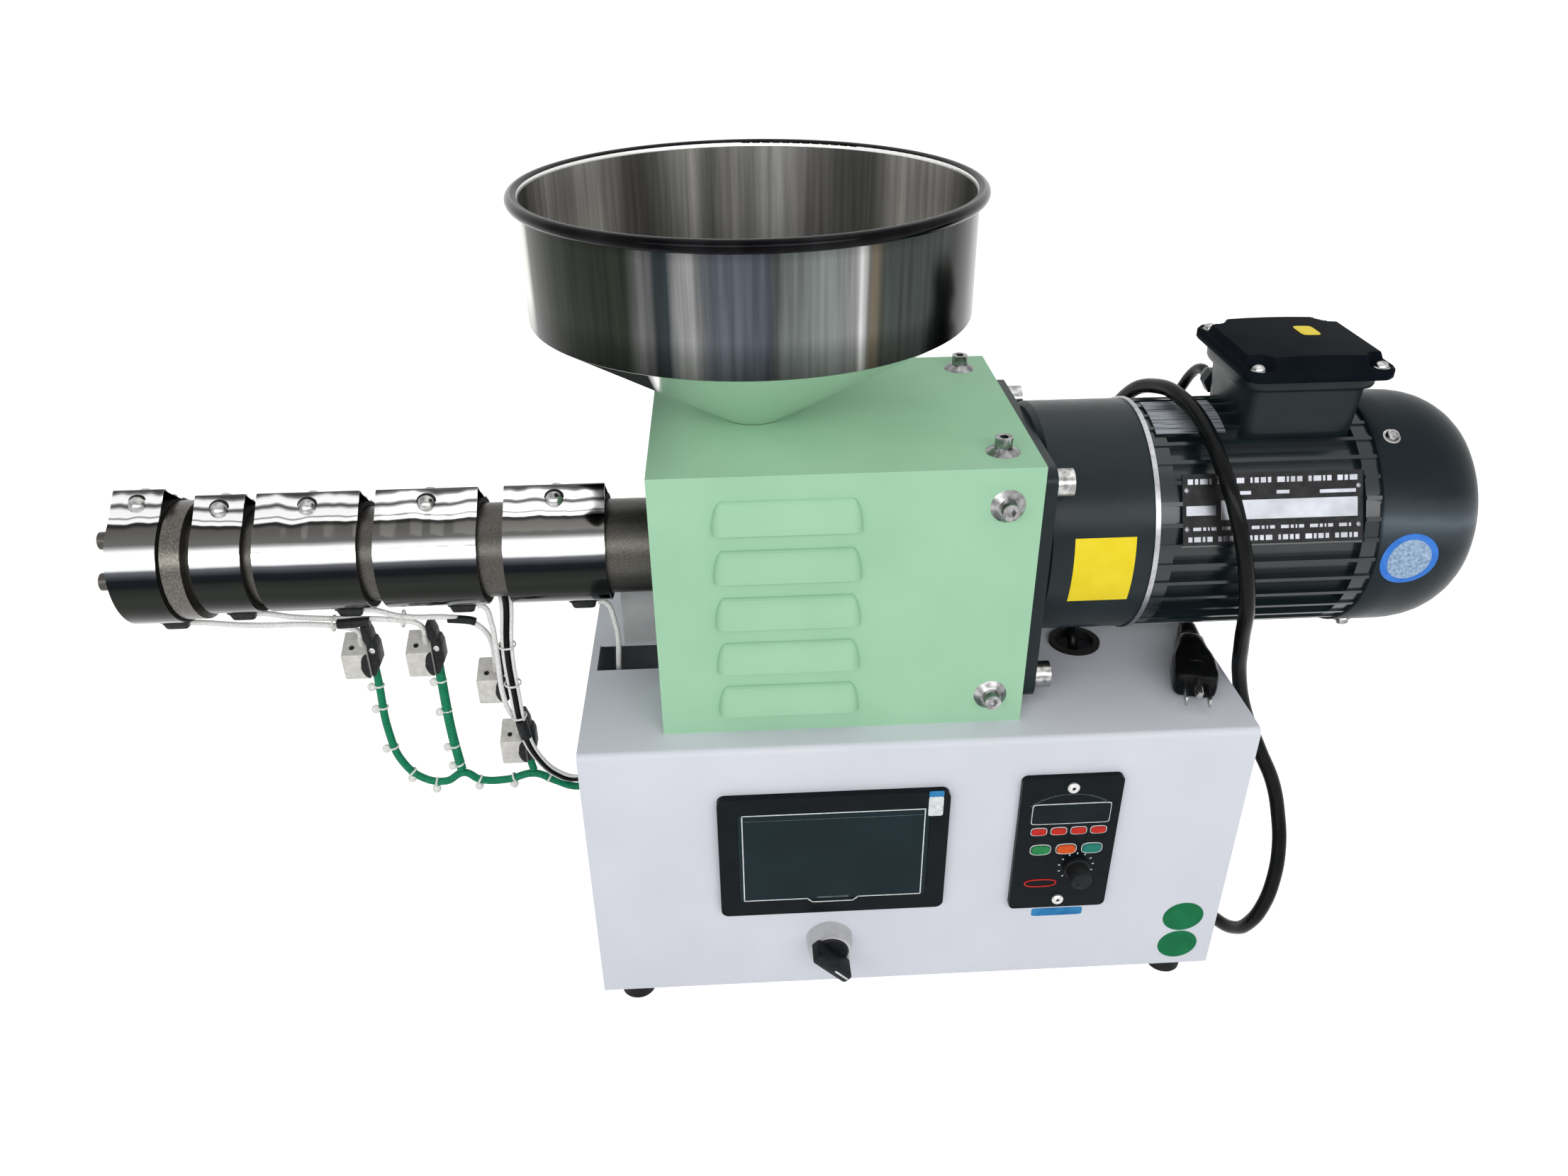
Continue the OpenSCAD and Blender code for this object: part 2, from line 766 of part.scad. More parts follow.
module terminal_lid() {
    r = 9;
    screw_d = 9;
    screw_h = 3;
    screw_in = 8;
    middle_in = 3;
    size = [terminal_w + 2 * lid_over, terminal_d + 2 * lid_over_d];
    notch = 18;
    color("#262c30") translate([terminal_x, 0, terminal_top]) {
        round_plate(size, r, lid_t);
        difference() {
            translate([0, 0, lid_t - past])
                round_plate([size[0] - 2 * middle_in, size[1] - 2 * middle_in], r, lid_rise + past);
            for (sx = [-1, 1], sy = [-1, 1])
                translate([sx * size[0] / 2, sy * size[1] / 2, lid_t + lid_rise / 2])
                    cube([2 * notch, 2 * notch, lid_rise + fit], center = true);
        }
    }
    color("silver") for (sx = [-1, 1], sy = [-1, 1])
        translate([terminal_x + sx * (size[0] / 2 - screw_in), sy * (size[1] / 2 - screw_in),
                   terminal_top + lid_t]) cylinder(d = screw_d, h = screw_h);
}

// ---------- Controls ----------

screen_lap = 7;
panel_lap = 6;
panel_keep = 14;
selector_neck_d = 22;
glass_in = 12;
glass_t = 2;

module touch_screen() {
    back_l = 34;
    r = 5;
    back = [screen_w - 2 * (screen_lap + fit), screen_h - 2 * (screen_lap + fit)];
    color("#20242a") difference() {
        union() {
            out_of_front(screen_x, instrument_z) round_plate([screen_w, screen_h], r, bezel_t);
            translate([screen_x - back[0] / 2, face_y, instrument_z - back[1] / 2])
                cube([back[0], back_l, back[1]]);
        }
        out_of_front(screen_x, instrument_z, face_y - bezel_t + glass_t)
            round_plate([screen_w - 2 * glass_in, screen_h - 2 * glass_in], r / 2, glass_t + past);
    }
}

module screen_glass() {
    glass = [screen_w - 2 * (glass_in + fit), screen_h - 2 * (glass_in + fit)];
    color("#101318") out_of_front(screen_x, instrument_z, face_y - bezel_t + glass_t)
        round_plate(glass, 2, glass_t);
}

module speed_panel() {
    back_l = 45;
    r = 4;
    screw_d = 7;
    screw_h = 1.5;
    screw_off = panel_h / 2 - 7.5;
    back = [panel_w - 2 * (panel_lap + fit), panel_h - 2 * (panel_keep + fit)];
    color("#20242a") difference() {
        union() {
            out_of_front(panel_x, instrument_z) round_plate([panel_w, panel_h], r, panel_t);
            translate([panel_x - back[0] / 2, face_y, instrument_z - back[1] / 2])
                cube([back[0], back_l, back[1]]);
        }
        out_of_front(knob_x, knob_z, face_y + past)
            cylinder(d = knob_shaft_d + 2 * fit, h = panel_t + 2 * past);
    }
    color("silver") for (side = [-1, 1])
        out_of_front(panel_x, instrument_z + side * screw_off, face_y - panel_t)
            cylinder(d = screw_d, h = screw_h);
}

key_t = 1;

module panel_keys() {
    window = [49, 17];
    window_up = 26;
    small_key = [10.4, 7];
    small_pitch = 12.7;
    small_up = 11.8;
    big_key = [13.5, 10.5];
    big_pitch = 16.6;
    big_down = 5.2;
    mid = panel_x + 1;
    out = face_y - panel_t;
    color("black") out_of_front(mid, instrument_z + window_up, out) round_plate(window, 2, key_t);
    color("firebrick") for (i = [-1.5:1.5])
        out_of_front(mid + i * small_pitch, instrument_z + small_up, out) round_plate(small_key, 2, key_t);
    color("orangered") for (i = [-1:1])
        out_of_front(mid + i * big_pitch, instrument_z - big_down, out) round_plate(big_key, 3, key_t);
}

knob_shaft_d = 6;
knob_gap = 0.8;
shaft_in = 3;

module speed_knob() {
    skirt_h = 3;
    out = face_y - panel_t - knob_gap;
    color("black") {
        out_of_front(knob_x, knob_z, out) cylinder(d = knob_d, h = skirt_h);
        out_of_front(knob_x, knob_z, out - skirt_h)
            cylinder(d1 = knob_d - 2, d2 = knob_d - 4, h = knob_h - skirt_h);
        out_of_front(knob_x, knob_z, face_y - panel_t + shaft_in)
            cylinder(d = knob_shaft_d, h = shaft_in + knob_gap);
    }
}

module selector_rim() {
    nut_l = 22;
    inner = selector_d - 7;
    color("silver") difference() {
        union() {
            out_of_front(selector_x, selector_z)
                cylinder(d1 = selector_d, d2 = selector_d - 3, h = selector_h);
            out_of_front(selector_x, selector_z, face_y + nut_l) cylinder(d = selector_neck_d, h = nut_l);
        }
        out_of_front(selector_x, selector_z, face_y - 2) cylinder(d = inner, h = selector_h);
        out_of_front(selector_x, selector_z, face_y + shaft_reach + 2)
            cylinder(d = knob_shaft_d + 2 * fit, h = shaft_reach + 2 + selector_h);
    }
}

handle_turn = -45;
shaft_reach = 8;

module selector_handle() {
    base_d = selector_d - 8;
    w = 8;
    low = selector_h - 4;
    color("black") out_of_front(selector_x, selector_z) {
        translate([0, 0, -shaft_reach]) cylinder(d = knob_shaft_d, h = low + shaft_reach + past);
        translate([0, 0, low]) cylinder(d = base_d, h = selector_h - low + 1);
        rotate([0, 0, handle_turn]) translate([-handle_l / 2, -w / 2, selector_h + 0.5])
            cube([handle_l, w, handle_h - 0.5]);
    }
}

// ---------- Cords and what is on them ----------

// Where the heaters' leads go into the cabinet's left side, and the power cord leaves its right
harness_y = -2.5;
harness_z = 113.5;
cord_y = 70;
cord_z = 50;
gland_out = 15;
cord_d = 9.5;
harness_d = 13;

module gland(cable_d) {
    nut_d = 22;
    nut_h = 6;
    neck_l = 4;
    rim_w = 2;
    difference() {
        union() {
            cylinder(d = nut_d, h = nut_h, $fn = 6);
            translate([0, 0, -neck_l]) cylinder(d = gland_hole_d - 2 * fit, h = neck_l + past);
            translate([0, 0, nut_h])
                cylinder(d1 = nut_d - 2 * rim_w, d2 = cable_d + rim_w, h = gland_out - nut_h);
        }
        translate([0, 0, -neck_l - past]) cylinder(d = gland_hole_d / 2, h = neck_l);
    }
}

module harness_gland() {
    color("black") translate([-cabinet_w / 2, harness_y, harness_z]) rotate([0, -90, 0]) gland(harness_d);
}

module cord_gland() {
    color("black") translate([cabinet_w / 2, cord_y, cord_z]) rotate([0, 90, 0]) gland(cord_d);
}

function unit(v) = v / norm(v);
function heading(p, i) = unit(p[min(i + 1, len(p) - 1)] - p[max(i - 1, 0)]);
function square_to(n, t) = unit(n - (n * t) * t);
function sides_of(p, n, i = 0) =
    i == len(p) ? [] : let (m = square_to(n, heading(p, i))) concat([m], sides_of(p, m, i + 1));
// A round cord swept along a route, with flat ends
module cord(route, d, faces) {
    n = len(route);
    side = sides_of(route, [0.31, 0.17, 0.93]);
    rings = [for (i = [0:n - 1], k = [0:faces - 1]) let (t = heading(route, i), a = 360 * k / faces)
        route[i] + d / 2 * (cos(a) * side[i] + sin(a) * cross(t, side[i]))];
    walls = [for (i = [0:n - 2], k = [0:faces - 1]) let (j = (k + 1) % faces)
        [i * faces + k, (i + 1) * faces + k, (i + 1) * faces + j, i * faces + j]];
    ends = [[for (k = [0:faces - 1]) k], [for (k = [faces - 1:-1:0]) (n - 1) * faces + k]];
    polyhedron(rings, concat(walls, ends), convexity = 10);
}

cord_route = [
    [222.5, 70, 50], [231, 70, 50], [243, 67.5, 49], [255.6, 59.9, 46.9], [265.5, 46.2, 42.3],
    [269, 29.5, 36], [265, 12.9, 28.6], [256.5, 0.5, 21], [246.2, -10.5, 13.9],
    [237.5, -26.7, 7.2], [233.6, -46.4, 5], [235.8, -63.8, 9], [239.3, -82.2, 21],
    [241.5, -93.1, 37.2], [245.5, -97.1, 56.7], [250, -94, 79], [252.6, -86.2, 100.6],
    [251.5, -77.5, 121], [246, -70.5, 144], [235, -64.5, 167], [222.5, -56.5, 195],
    [213.5, -56.5, 224], [205, -67, 255], [194, -82, 300], [182, -77, 346], [175, -60, 371],
    [170, -36, 388], [165, -6, 395], [161, 24, 391], [155, 54, 376], [152, 77, 346],
    [155, 86, 308], [166, 85, 270], [179, 73, 242], [192, 52, 226], [199, 28, 225],
    [198.6, 8, 228], [196.6, -4, 229], [195, -10, 229]
];

module power_cord() { color("black") cord(cord_route, cord_d, 10); }

// The motor's cable hangs behind the motor and goes down through the grommet
motor_cable_d = 7;
motor_cable_route = [
    [entry_x, terminal_d / 2 + entry_l, entry_z], [entry_x, 55, entry_z], [201, 67, 384],
    [198, 81, 364], [187, 97, 332], [170, 101, 297], [152, 93, 262], [137, 69, 238],
    [127, 38, 231], [121, 13, 229.5], [119.7, 1, 223.5], [119.5, -5, 213], [119.5, -6, 200]
];

module motor_cable() { color("black") cord(motor_cable_route, motor_cable_d, 8); }

// The plug follows the cord's last stretch
plug_t = 18;
tail = cord_route[len(cord_route) - 1];
tail_step = tail - cord_route[len(cord_route) - 2];
plug_turn = atan2(tail_step[1], tail_step[0]);

module power_plug() {
    relief_l = 14;
    body = [54, 28];
    body_r = 6;
    prong = [17, 1.6, 6.5];
    prong_off = 7;
    pin_d = 5;
    pin_up = 5;
    color("black") translate(tail) rotate([0, 0, plug_turn]) {
        rotate([0, 90, 0]) cylinder(d1 = cord_d + 1, d2 = cord_d + 5, h = relief_l);
        translate([relief_l + body[0] / 2, 0, -plug_t / 2]) round_plate(body, body_r, plug_t);
    }
    color("silver") translate(tail) rotate([0, 0, plug_turn]) translate([relief_l + body[0], 0, 0]) {
        for (side = [-1, 1]) translate([0, side * prong_off - prong[1] / 2, -prong[2] / 2]) cube(prong);
        translate([0, 0, pin_up]) rotate([0, 90, 0]) cylinder(d = pin_d, h = prong[0]);
    }
}

// Connectors on the heaters' leads: a metal half with a sloping back that the white lead goes
// into, and beside it a taller black half
plug_at = [[-358, 0, 233], [-316, 0, 233], [-273, 0, 209], [-264, 0, 157]];
metal_half = [17, 18];
black_half = [7, 12];
plug_low = -20;
plug_high = 19;
entry = [0.5, 0, 8];

module heater_connector(i) {
    front_top = -1;
    back_top = 7;
    shoulder = 2;
    lap = 1.5;
    sleeve_d = 6;
    left = -(metal_half[0] + black_half[0]) / 2;
    deep = metal_half[1] / 2;
    color("tan") {
        translate(plug_at[i] + [left, 0, 0]) rotate([90, 0, 90]) linear_extrude(metal_half[0])
            polygon([[-deep, plug_low], [deep, plug_low], [deep, back_top], [-deep, front_top]]);
        translate(plug_at[i] + [entry[0], entry[1], front_top])
            cylinder(d = sleeve_d, h = entry[2] - front_top);
    }
    color("black") translate(plug_at[i] + [left + metal_half[0], black_half[1] / 2, 0]) rotate([90, 0, 0])
        linear_extrude(black_half[1]) polygon([[0, plug_low], [2, plug_low], [black_half[0], plug_low / 2],
            [black_half[0], shoulder], [3, plug_high], [-lap, plug_high], [-lap, shoulder], [0, shoulder]]);
}

module heater_plug_1() { heater_connector(0); }

module heater_plug_2() { heater_connector(1); }

module heater_plug_3() { heater_connector(2); }

module heater_plug_4() { heater_connector(3); }

// White braided leads: four from the heaters' outlets into the connectors, the fifth into the slot
braid_d = 3.6;
braid_1 = [[-460.5, -4, 259], [-456, -4, 259], [-425, -5.5, 256.5], [-378, -5, 254.5],
           [-362, -2.5, 249.5], [-357.5, 0, 245], [-357.5, 0, 241]];
braid_2 = [[-417, -4, 264], [-413, -4, 264], [-396, -1.5, 259], [-330, -1.5, 253.8],
           [-318.5, -1, 250.5], [-315.5, 0, 245.5], [-315.5, 0, 241]];
braid_3 = [[-349, -4, 264], [-345, -4, 264], [-328, -5.5, 259.5], [-284, -5, 253.5],
           [-275, -3, 244], [-272.5, 0, 232], [-272.5, 0, 217]];
braid_4 = [[-277, -4, 264], [-273.5, -4, 264], [-268.5, -9, 253], [-267.5, -12.2, 236],
           [-267.3, -12.2, 195], [-265, -7, 178], [-263.5, 0, 169.5], [-263.5, 0, 165]];
braid_5 = [[-199, -4, 264], [-195, -4, 264], [-189.7, -5, 252], [-189.7, -5, 206]];

module braided_lead(route) { color("white") cord(route, braid_d, 8); }

module braided_lead_1() { braided_lead(braid_1); }

module braided_lead_2() { braided_lead(braid_2); }

module braided_lead_3() { braided_lead(braid_3); }

module braided_lead_4() { braided_lead(braid_4); }

module braided_lead_5() { braided_lead(braid_5); }

// Green sleeved leads from the connectors into the cabinet: the second and third join the first
sensor_d = 5;
sensor_1 = [[-352, 0, 213], [-352, 0, 205], [-351.5, -3, 165], [-346, -4, 139], [-334, -4, 124],
            [-319, -4, 120.5], [-305, -4, 127.5], [-295, -4, 120.8], [-276, -4, 119.8],
            [-256, -4, 124.3], [-243, -4, 117.5], [-230, -2.5, 109.9], [-222.5, -2.5, 109.9]];
sensor_2 = [[-310, 0, 213], [-310, 0, 205], [-309, -3, 165], [-306.5, -4, 131]];
sensor_3 = [[-258.5, 0, 137], [-258.5, 0, 133], [-256.5, -3, 126.5]];

module sensor_lead(route) { color("seagreen") cord(route, sensor_d, 8); }

module sensor_lead_1() { sensor_lead(sensor_1); }

module sensor_lead_2() { sensor_lead(sensor_2); }

module sensor_lead_3() { sensor_lead(sensor_3); }

bundle_d = 7;
bundle_route = [[-258.5, -4, 272.9], [-258.5, -4, 264], [-260.5, -11, 236], [-260, -12, 200],
                [-257.5, -14, 170], [-250.5, -12.5, 145], [-238, -5, 122], [-230, -2.5, 116.7],
                [-222.5, -2.5, 116.7]];

module wire_bundle() { color("dimgray") cord(bundle_route, bundle_d, 8); }

cabinet_shell();
cabinet_left_side();
cabinet_right_side();
cabinet_back();
cabinet_base();
rubber_feet();
cable_grommet();
barrel_pedestal();
feed_block();
thrust_housing();
barrel_tube();
feed_screw();
band_heater_1();
band_heater_2();
band_heater_3();
short_band_heater();
die_band_heater();
die_ring();
die_head();
die_bolts();
hopper();
cover();
cover_screws();
gearbox_flange();
flange_screws();
gearbox();
motor_ring();
motor_body();
motor_nameplate();
fan_cowl();
motor_fan();
terminal_box();
terminal_lid();
touch_screen();
screen_glass();
speed_panel();
panel_keys();
speed_knob();
selector_rim();
selector_handle();
harness_gland();
heater_plug_1();
heater_plug_2();
heater_plug_3();
heater_plug_4();
braided_lead_1();
braided_lead_2();
braided_lead_3();
braided_lead_4();
braided_lead_5();
sensor_lead_1();
sensor_lead_2();
sensor_lead_3();
wire_bundle();
cord_gland();
motor_cable();
power_cord();
power_plug();
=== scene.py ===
import bmesh
import bpy
import math
from mathutils import Matrix, Vector


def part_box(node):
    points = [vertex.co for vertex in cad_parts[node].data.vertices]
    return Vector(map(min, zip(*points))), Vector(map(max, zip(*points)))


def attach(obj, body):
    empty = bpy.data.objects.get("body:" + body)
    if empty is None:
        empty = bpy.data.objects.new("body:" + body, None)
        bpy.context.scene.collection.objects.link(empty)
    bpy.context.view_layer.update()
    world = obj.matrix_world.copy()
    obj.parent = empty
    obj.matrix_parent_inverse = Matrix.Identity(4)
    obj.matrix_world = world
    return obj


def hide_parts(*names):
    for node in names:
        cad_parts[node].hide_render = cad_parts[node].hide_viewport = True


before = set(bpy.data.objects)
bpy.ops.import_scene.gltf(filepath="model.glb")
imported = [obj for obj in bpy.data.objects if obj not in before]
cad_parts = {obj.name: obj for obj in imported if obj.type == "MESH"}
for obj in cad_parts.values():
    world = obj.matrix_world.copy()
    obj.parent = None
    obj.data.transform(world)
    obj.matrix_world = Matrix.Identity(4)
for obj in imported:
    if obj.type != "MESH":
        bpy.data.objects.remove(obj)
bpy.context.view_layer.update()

# ---- Camera ----
# A wide lens a little above the machine, in front of it and left of its middle,
# so that the hopper's mouth, the barrel and the cabinet's front all show.


def put_in(name, data):
    """A new object in the scene, made of some data."""
    made = bpy.data.objects.new(name, data)
    bpy.context.scene.collection.objects.link(made)
    return made


lens = bpy.data.cameras.new("camera")
lens.lens = 27.052
lens.sensor_width = 36
camera = put_in("camera", lens)
camera.location = (-0.10933, -0.66821, 0.65937)
camera.rotation_euler = (math.radians(59.61), math.radians(0.54), math.radians(-3.06))
bpy.context.scene.camera = camera

# ---- Power cord ----
# A three-core mains cord in smooth black PVC. It leaves the cabinet's right side through
# a screwed gland, loops over the gearbox and lies on the cabinet with its moulded plug.
cord_width = 9.5
cord_route = [
    (222.5, 70, 50), (231, 70, 50), (243, 67.5, 49), (255.6, 59.9, 46.9),
    (265.5, 46.2, 42.3), (269, 29.5, 36), (265, 12.9, 28.6), (256.5, 0.5, 21),
    (246.2, -10.5, 13.9), (237.5, -26.7, 7.2), (233.6, -46.4, 5), (235.8, -63.8, 9),
    (239.3, -82.2, 21), (241.5, -93.1, 37.2), (245.5, -97.1, 56.7), (250, -94, 79),
    (252.6, -86.2, 100.6), (251.5, -77.5, 121), (246, -70.5, 144), (235, -64.5, 167),
    (222.5, -56.5, 195), (213.5, -56.5, 224), (205, -67, 255), (194, -82, 300),
    (182, -77, 346), (175, -60, 371), (170, -36, 388), (165, -6, 395), (161, 24, 391),
    (155, 54, 376), (152, 77, 346), (155, 86, 308), (166, 85, 270), (179, 73, 242),
    (192, 52, 226), (199, 28, 225), (198.6, 8, 228), (196.6, -4, 229), (195, -10, 229),
]


def metres(point):
    """A point in millimetres as a vector in metres."""
    return Vector(point) / 1000


def start_finish(name, metal, rough, shine=0.175):
    """A new finish, with its node tree and its shader."""
    made = bpy.data.materials.new(name)
    made.use_nodes = True
    shader = made.node_tree.nodes["Principled BSDF"]
    shader.inputs["Metallic"].default_value = metal
    shader.inputs["Roughness"].default_value = rough
    shader.inputs["Specular IOR Level"].default_value = shine
    return made, made.node_tree, shader


def mottle(tree, grain_mm, detail=2.0, stretch=(1, 1, 1)):
    """Soft patches about grain_mm across, from 0 to 1, that stay with the part."""
    place = tree.nodes.new("ShaderNodeTexCoord")
    drawn_out = tree.nodes.new("ShaderNodeMapping")
    drawn_out.inputs["Scale"].default_value = stretch
    patches = tree.nodes.new("ShaderNodeTexNoise")
    patches.inputs["Scale"].default_value = 1000 / grain_mm
    patches.inputs["Detail"].default_value = detail
    tree.links.new(place.outputs["Object"], drawn_out.inputs["Vector"])
    tree.links.new(drawn_out.outputs["Vector"], patches.inputs["Vector"])
    return patches.outputs["Fac"]


def tones(tree, value, *stops):
    """Colours along a value from 0 to 1, each stop a place and a colour."""
    ramp = tree.nodes.new("ShaderNodeValToRGB")
    band = ramp.color_ramp
    while len(band.elements) < len(stops):
        band.elements.new(0.5)
    for element, (spot, colour) in zip(band.elements, stops):
        element.position = spot
        element.color = (*colour, 1)
    tree.links.new(value, ramp.inputs["Fac"])
    return ramp.outputs["Color"]


def spread(tree, value, low, high, start=0.0, stop=1.0):
    """A value between start and stop drawn out to run from low to high."""
    scaled = tree.nodes.new("ShaderNodeMapRange")
    scaled.inputs["From Min"].default_value = start
    scaled.inputs["From Max"].default_value = stop
    scaled.inputs["To Min"].default_value = low
    scaled.inputs["To Max"].default_value = high
    tree.links.new(value, scaled.inputs["Value"])
    return scaled.outputs["Result"]


def relief(tree, shader, height, depth_mm, strength=1.0):
    """Small hills and hollows of that depth on the surface."""
    hills = tree.nodes.new("ShaderNodeBump")
    hills.inputs["Strength"].default_value = strength
    hills.inputs["Distance"].default_value = depth_mm / 1000
    tree.links.new(height, hills.inputs["Height"])
    tree.links.new(hills.outputs["Normal"], shader.inputs["Normal"])


def plain_finish(name, dark, light, patch_mm, metal=0.0, rough=0.4, shine=0.175, skin=(1.5, 0.05)):
    """A finish that is mottled between two near colours, with a fine skin of its own."""
    made, tree, shader = start_finish(name, metal, rough, shine)
    colour = tones(tree, mottle(tree, patch_mm), (0.3, dark), (0.7, light))
    tree.links.new(colour, shader.inputs["Base Color"])
    uneven = spread(tree, mottle(tree, patch_mm / 3), rough * 0.8, rough * 1.25)
    tree.links.new(uneven, shader.inputs["Roughness"])
    relief(tree, shader, mottle(tree, skin[0]), skin[1], 0.5)
    return made


def lay_line(name, route, width, finish, widths=None):
    """A round lead along a route in millimetres, on the machine."""
    line = bpy.data.curves.new(name, "CURVE")
    line.dimensions = "3D"
    line.bevel_depth = width / 2000
    line.bevel_resolution = 4
    line.resolution_u = 6
    line.use_fill_caps = True
    run = line.splines.new("BEZIER")
    run.bezier_points.add(len(route) - 1)
    for i, point in enumerate(route):
        knot = run.bezier_points[i]
        knot.co = metres(point)
        knot.handle_left_type = "AUTO"
        knot.handle_right_type = "AUTO"
        if widths:
            knot.radius = widths[i] / width
    line.materials.append(finish)
    made = put_in(name, line)
    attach(made, "machine")
    return made


cord_pvc = plain_finish(
    "cord_pvc", (0.004, 0.0044, 0.005), (0.007, 0.0075, 0.008), 9, rough=0.18, shine=0.087,
)
power_cord = lay_line("mains_cord", cord_route, cord_width, cord_pvc)
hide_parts("power_cord")


def place_piece(name, shape, finish, body="machine", sharp=35):
    """Makes a piece of a bmesh in millimetres, and lets it ride on a body."""
    bmesh.ops.scale(shape, vec=(0.001, 0.001, 0.001), verts=shape.verts)
    bmesh.ops.recalc_face_normals(shape, faces=shape.faces)
    mesh = bpy.data.meshes.new(name)
    shape.to_mesh(mesh)
    shape.free()
    mesh.shade_smooth()
    mesh.set_sharp_from_angle(angle=math.radians(sharp))
    for each in finish if isinstance(finish, (list, tuple)) else (finish,):
        mesh.materials.append(each)
    made = put_in(name, mesh)
    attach(made, body)
    return made


def add_rings(shape, rings, close_ends=True):
    """Skins a row of rings of points, all with the same number of points."""
    rows = [[shape.verts.new(point) for point in ring] for ring in rings]
    count = len(rows[0])
    for low, high in zip(rows, rows[1:]):
        for i in range(count):
            j = (i + 1) % count
            shape.faces.new((low[i], low[j], high[j], high[i]))
    if close_ends:
        shape.faces.new(rows[0])
        shape.faces.new(rows[-1])


def add_shape(shape, other, turn=None, mark=0):
    """Moves another bmesh by a matrix and takes it in."""
    if turn is not None:
        bmesh.ops.transform(other, matrix=turn, verts=other.verts)
    copied = {}
    for vert in other.verts:
        copied[vert] = shape.verts.new(vert.co)
    for face in other.faces:
        made = shape.faces.new([copied[vert] for vert in face.verts])
        made.material_index = mark
    other.free()


def add_block(shape, low, high, edge=0.8, steps=2, turn=None, mark=0):
    """A block between two corners, with rounded edges."""
    block = bmesh.new()
    bmesh.ops.create_cube(block, size=1)
    low = Vector(low)
    size = Vector(high) - low
    for vert in block.verts:
        vert.co = [low[i] + (vert.co[i] + 0.5) * size[i] for i in range(3)]
    bmesh.ops.bevel(
        block, geom=block.edges[:], offset=edge, segments=steps, profile=0.5,
        affect="EDGES", clamp_overlap=True,
    )
    add_shape(shape, block, turn, mark)


def add_turned(shape, profile, turn=None, steps=40, mark=0):
    """A solid turned about Z from pairs of radius and height."""
    turned = bmesh.new()
    rings = []
    for radius, height in profile:
        ring = []
        for i in range(steps):
            a = math.tau * i / steps
            ring.append((radius * math.cos(a), radius * math.sin(a), height))
        rings.append(ring)
    add_rings(turned, rings)
    bmesh.ops.remove_doubles(turned, verts=turned.verts, dist=0.0005)
    add_shape(shape, turned, turn, mark)


def facing(spot, direction):
    """The place of a piece made about Z, set at a spot and turned to face a direction."""
    return Matrix.Translation(spot) @ Vector(direction).to_track_quat("Z", "Y").to_matrix().to_4x4()


def boxy_ring(x, half_w, half_h, power, count=32):
    """A ring square to X: an oval that grows boxier with its power."""
    ring = []
    for i in range(count):
        a = math.tau * i / count
        c = math.cos(a)
        s = math.sin(a)
        y = half_w * math.copysign(abs(c) ** (2 / power), c)
        z = half_h * math.copysign(abs(s) ** (2 / power), s)
        ring.append(Vector((x, y, z)))
    return ring


cord_end = Vector(cord_route[-1])
last_step = cord_end - Vector(cord_route[-2])
plug_turn = Matrix.Translation(cord_end) @ Matrix.Rotation(math.atan2(last_step.y, last_step.x), 4, "Z")
plug_shape = bmesh.new()
plug_rings = [boxy_ring(-4, 5.1, 5.1, 2.0), boxy_ring(-3, 5.6, 5.6, 2.0)]
for rib in range(4):
    half = 6 + rib * 0.55
    for on, in_w, in_h in ((0, 0, 0), (2.4, 0, 0), (2.8, 0.9, 0.9), (3.7, 0.6, 0.9)):
        plug_rings.append(boxy_ring(rib * 4 - 2 + on, half - in_w, half * 0.95 - in_h, 2.2))
for x, half_w, half_h, power in (
    (14.5, 8.2, 7.2, 2.6), (17, 9.2, 7.8, 3), (24, 9.6, 8.2, 3.4), (31, 10.6, 8.6, 4),
    (38, 12.6, 8.8, 4.5), (46, 13.7, 9, 5), (58, 13.9, 9, 5), (64, 13.4, 8.8, 5),
    (67, 12.4, 8.2, 5), (68, 11.2, 7.4, 5),
):
    plug_rings.append(boxy_ring(x, half_w, half_h, power))
add_rings(plug_shape, plug_rings)
add_turned(
    plug_shape,
    [(0, 8.4), (4.2, 8.4), (4.6, 9.1), (4.2, 9.35), (3.2, 9.35), (2.9, 8.9), (1.4, 8.9), (0, 8.9)],
    Matrix.Translation((55, 0, 0)),
)
bmesh.ops.transform(plug_shape, matrix=plug_turn, verts=plug_shape.verts)
mains_plug = place_piece("mains_plug", plug_shape, cord_pvc, sharp=50)
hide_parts("power_plug")

bright_zinc = plain_finish(
    "bright_zinc", (0.22, 0.22, 0.22), (0.55, 0.55, 0.54), 3.5, metal=1.0, rough=0.22,
)
pins = bmesh.new()
for y in (-7, 7):
    add_block(pins, (67, y - 0.8, -3.25), (85, y + 0.8, 3.25), 0.5)
add_turned(
    pins, [(0, 67), (2.5, 67), (2.5, 83.5), (1.6, 85), (0, 85)],
    facing((0, 0, 4.8), (1, 0, 0)), 24,
)
bmesh.ops.transform(pins, matrix=plug_turn, verts=pins.verts)
plug_pins = place_piece("plug_pins", pins, bright_zinc)
lay_line(
    "cord_boot", [(214, 70, 50), (222, 70, 50), (231, 70, 50), (240, 68.5, 49.3), (248, 65, 48)],
    16, cord_pvc, [16, 15, 13, 11.4, 10.4],
)


def dress(node, finish, edge_mm=0.0):
    """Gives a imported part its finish, smooth shading and, if asked, softened edges."""
    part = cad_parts[node]
    part.data.materials.clear()
    part.data.materials.append(finish)
    part.data.shade_smooth()
    part.data.set_sharp_from_angle(angle=math.radians(30))
    if edge_mm:
        soft = part.modifiers.new("soft_edges", "BEVEL")
        soft.width = edge_mm / 1000
        soft.segments = 2
        soft.limit_method = "ANGLE"
        soft.angle_limit = math.radians(40)
        soft.harden_normals = True


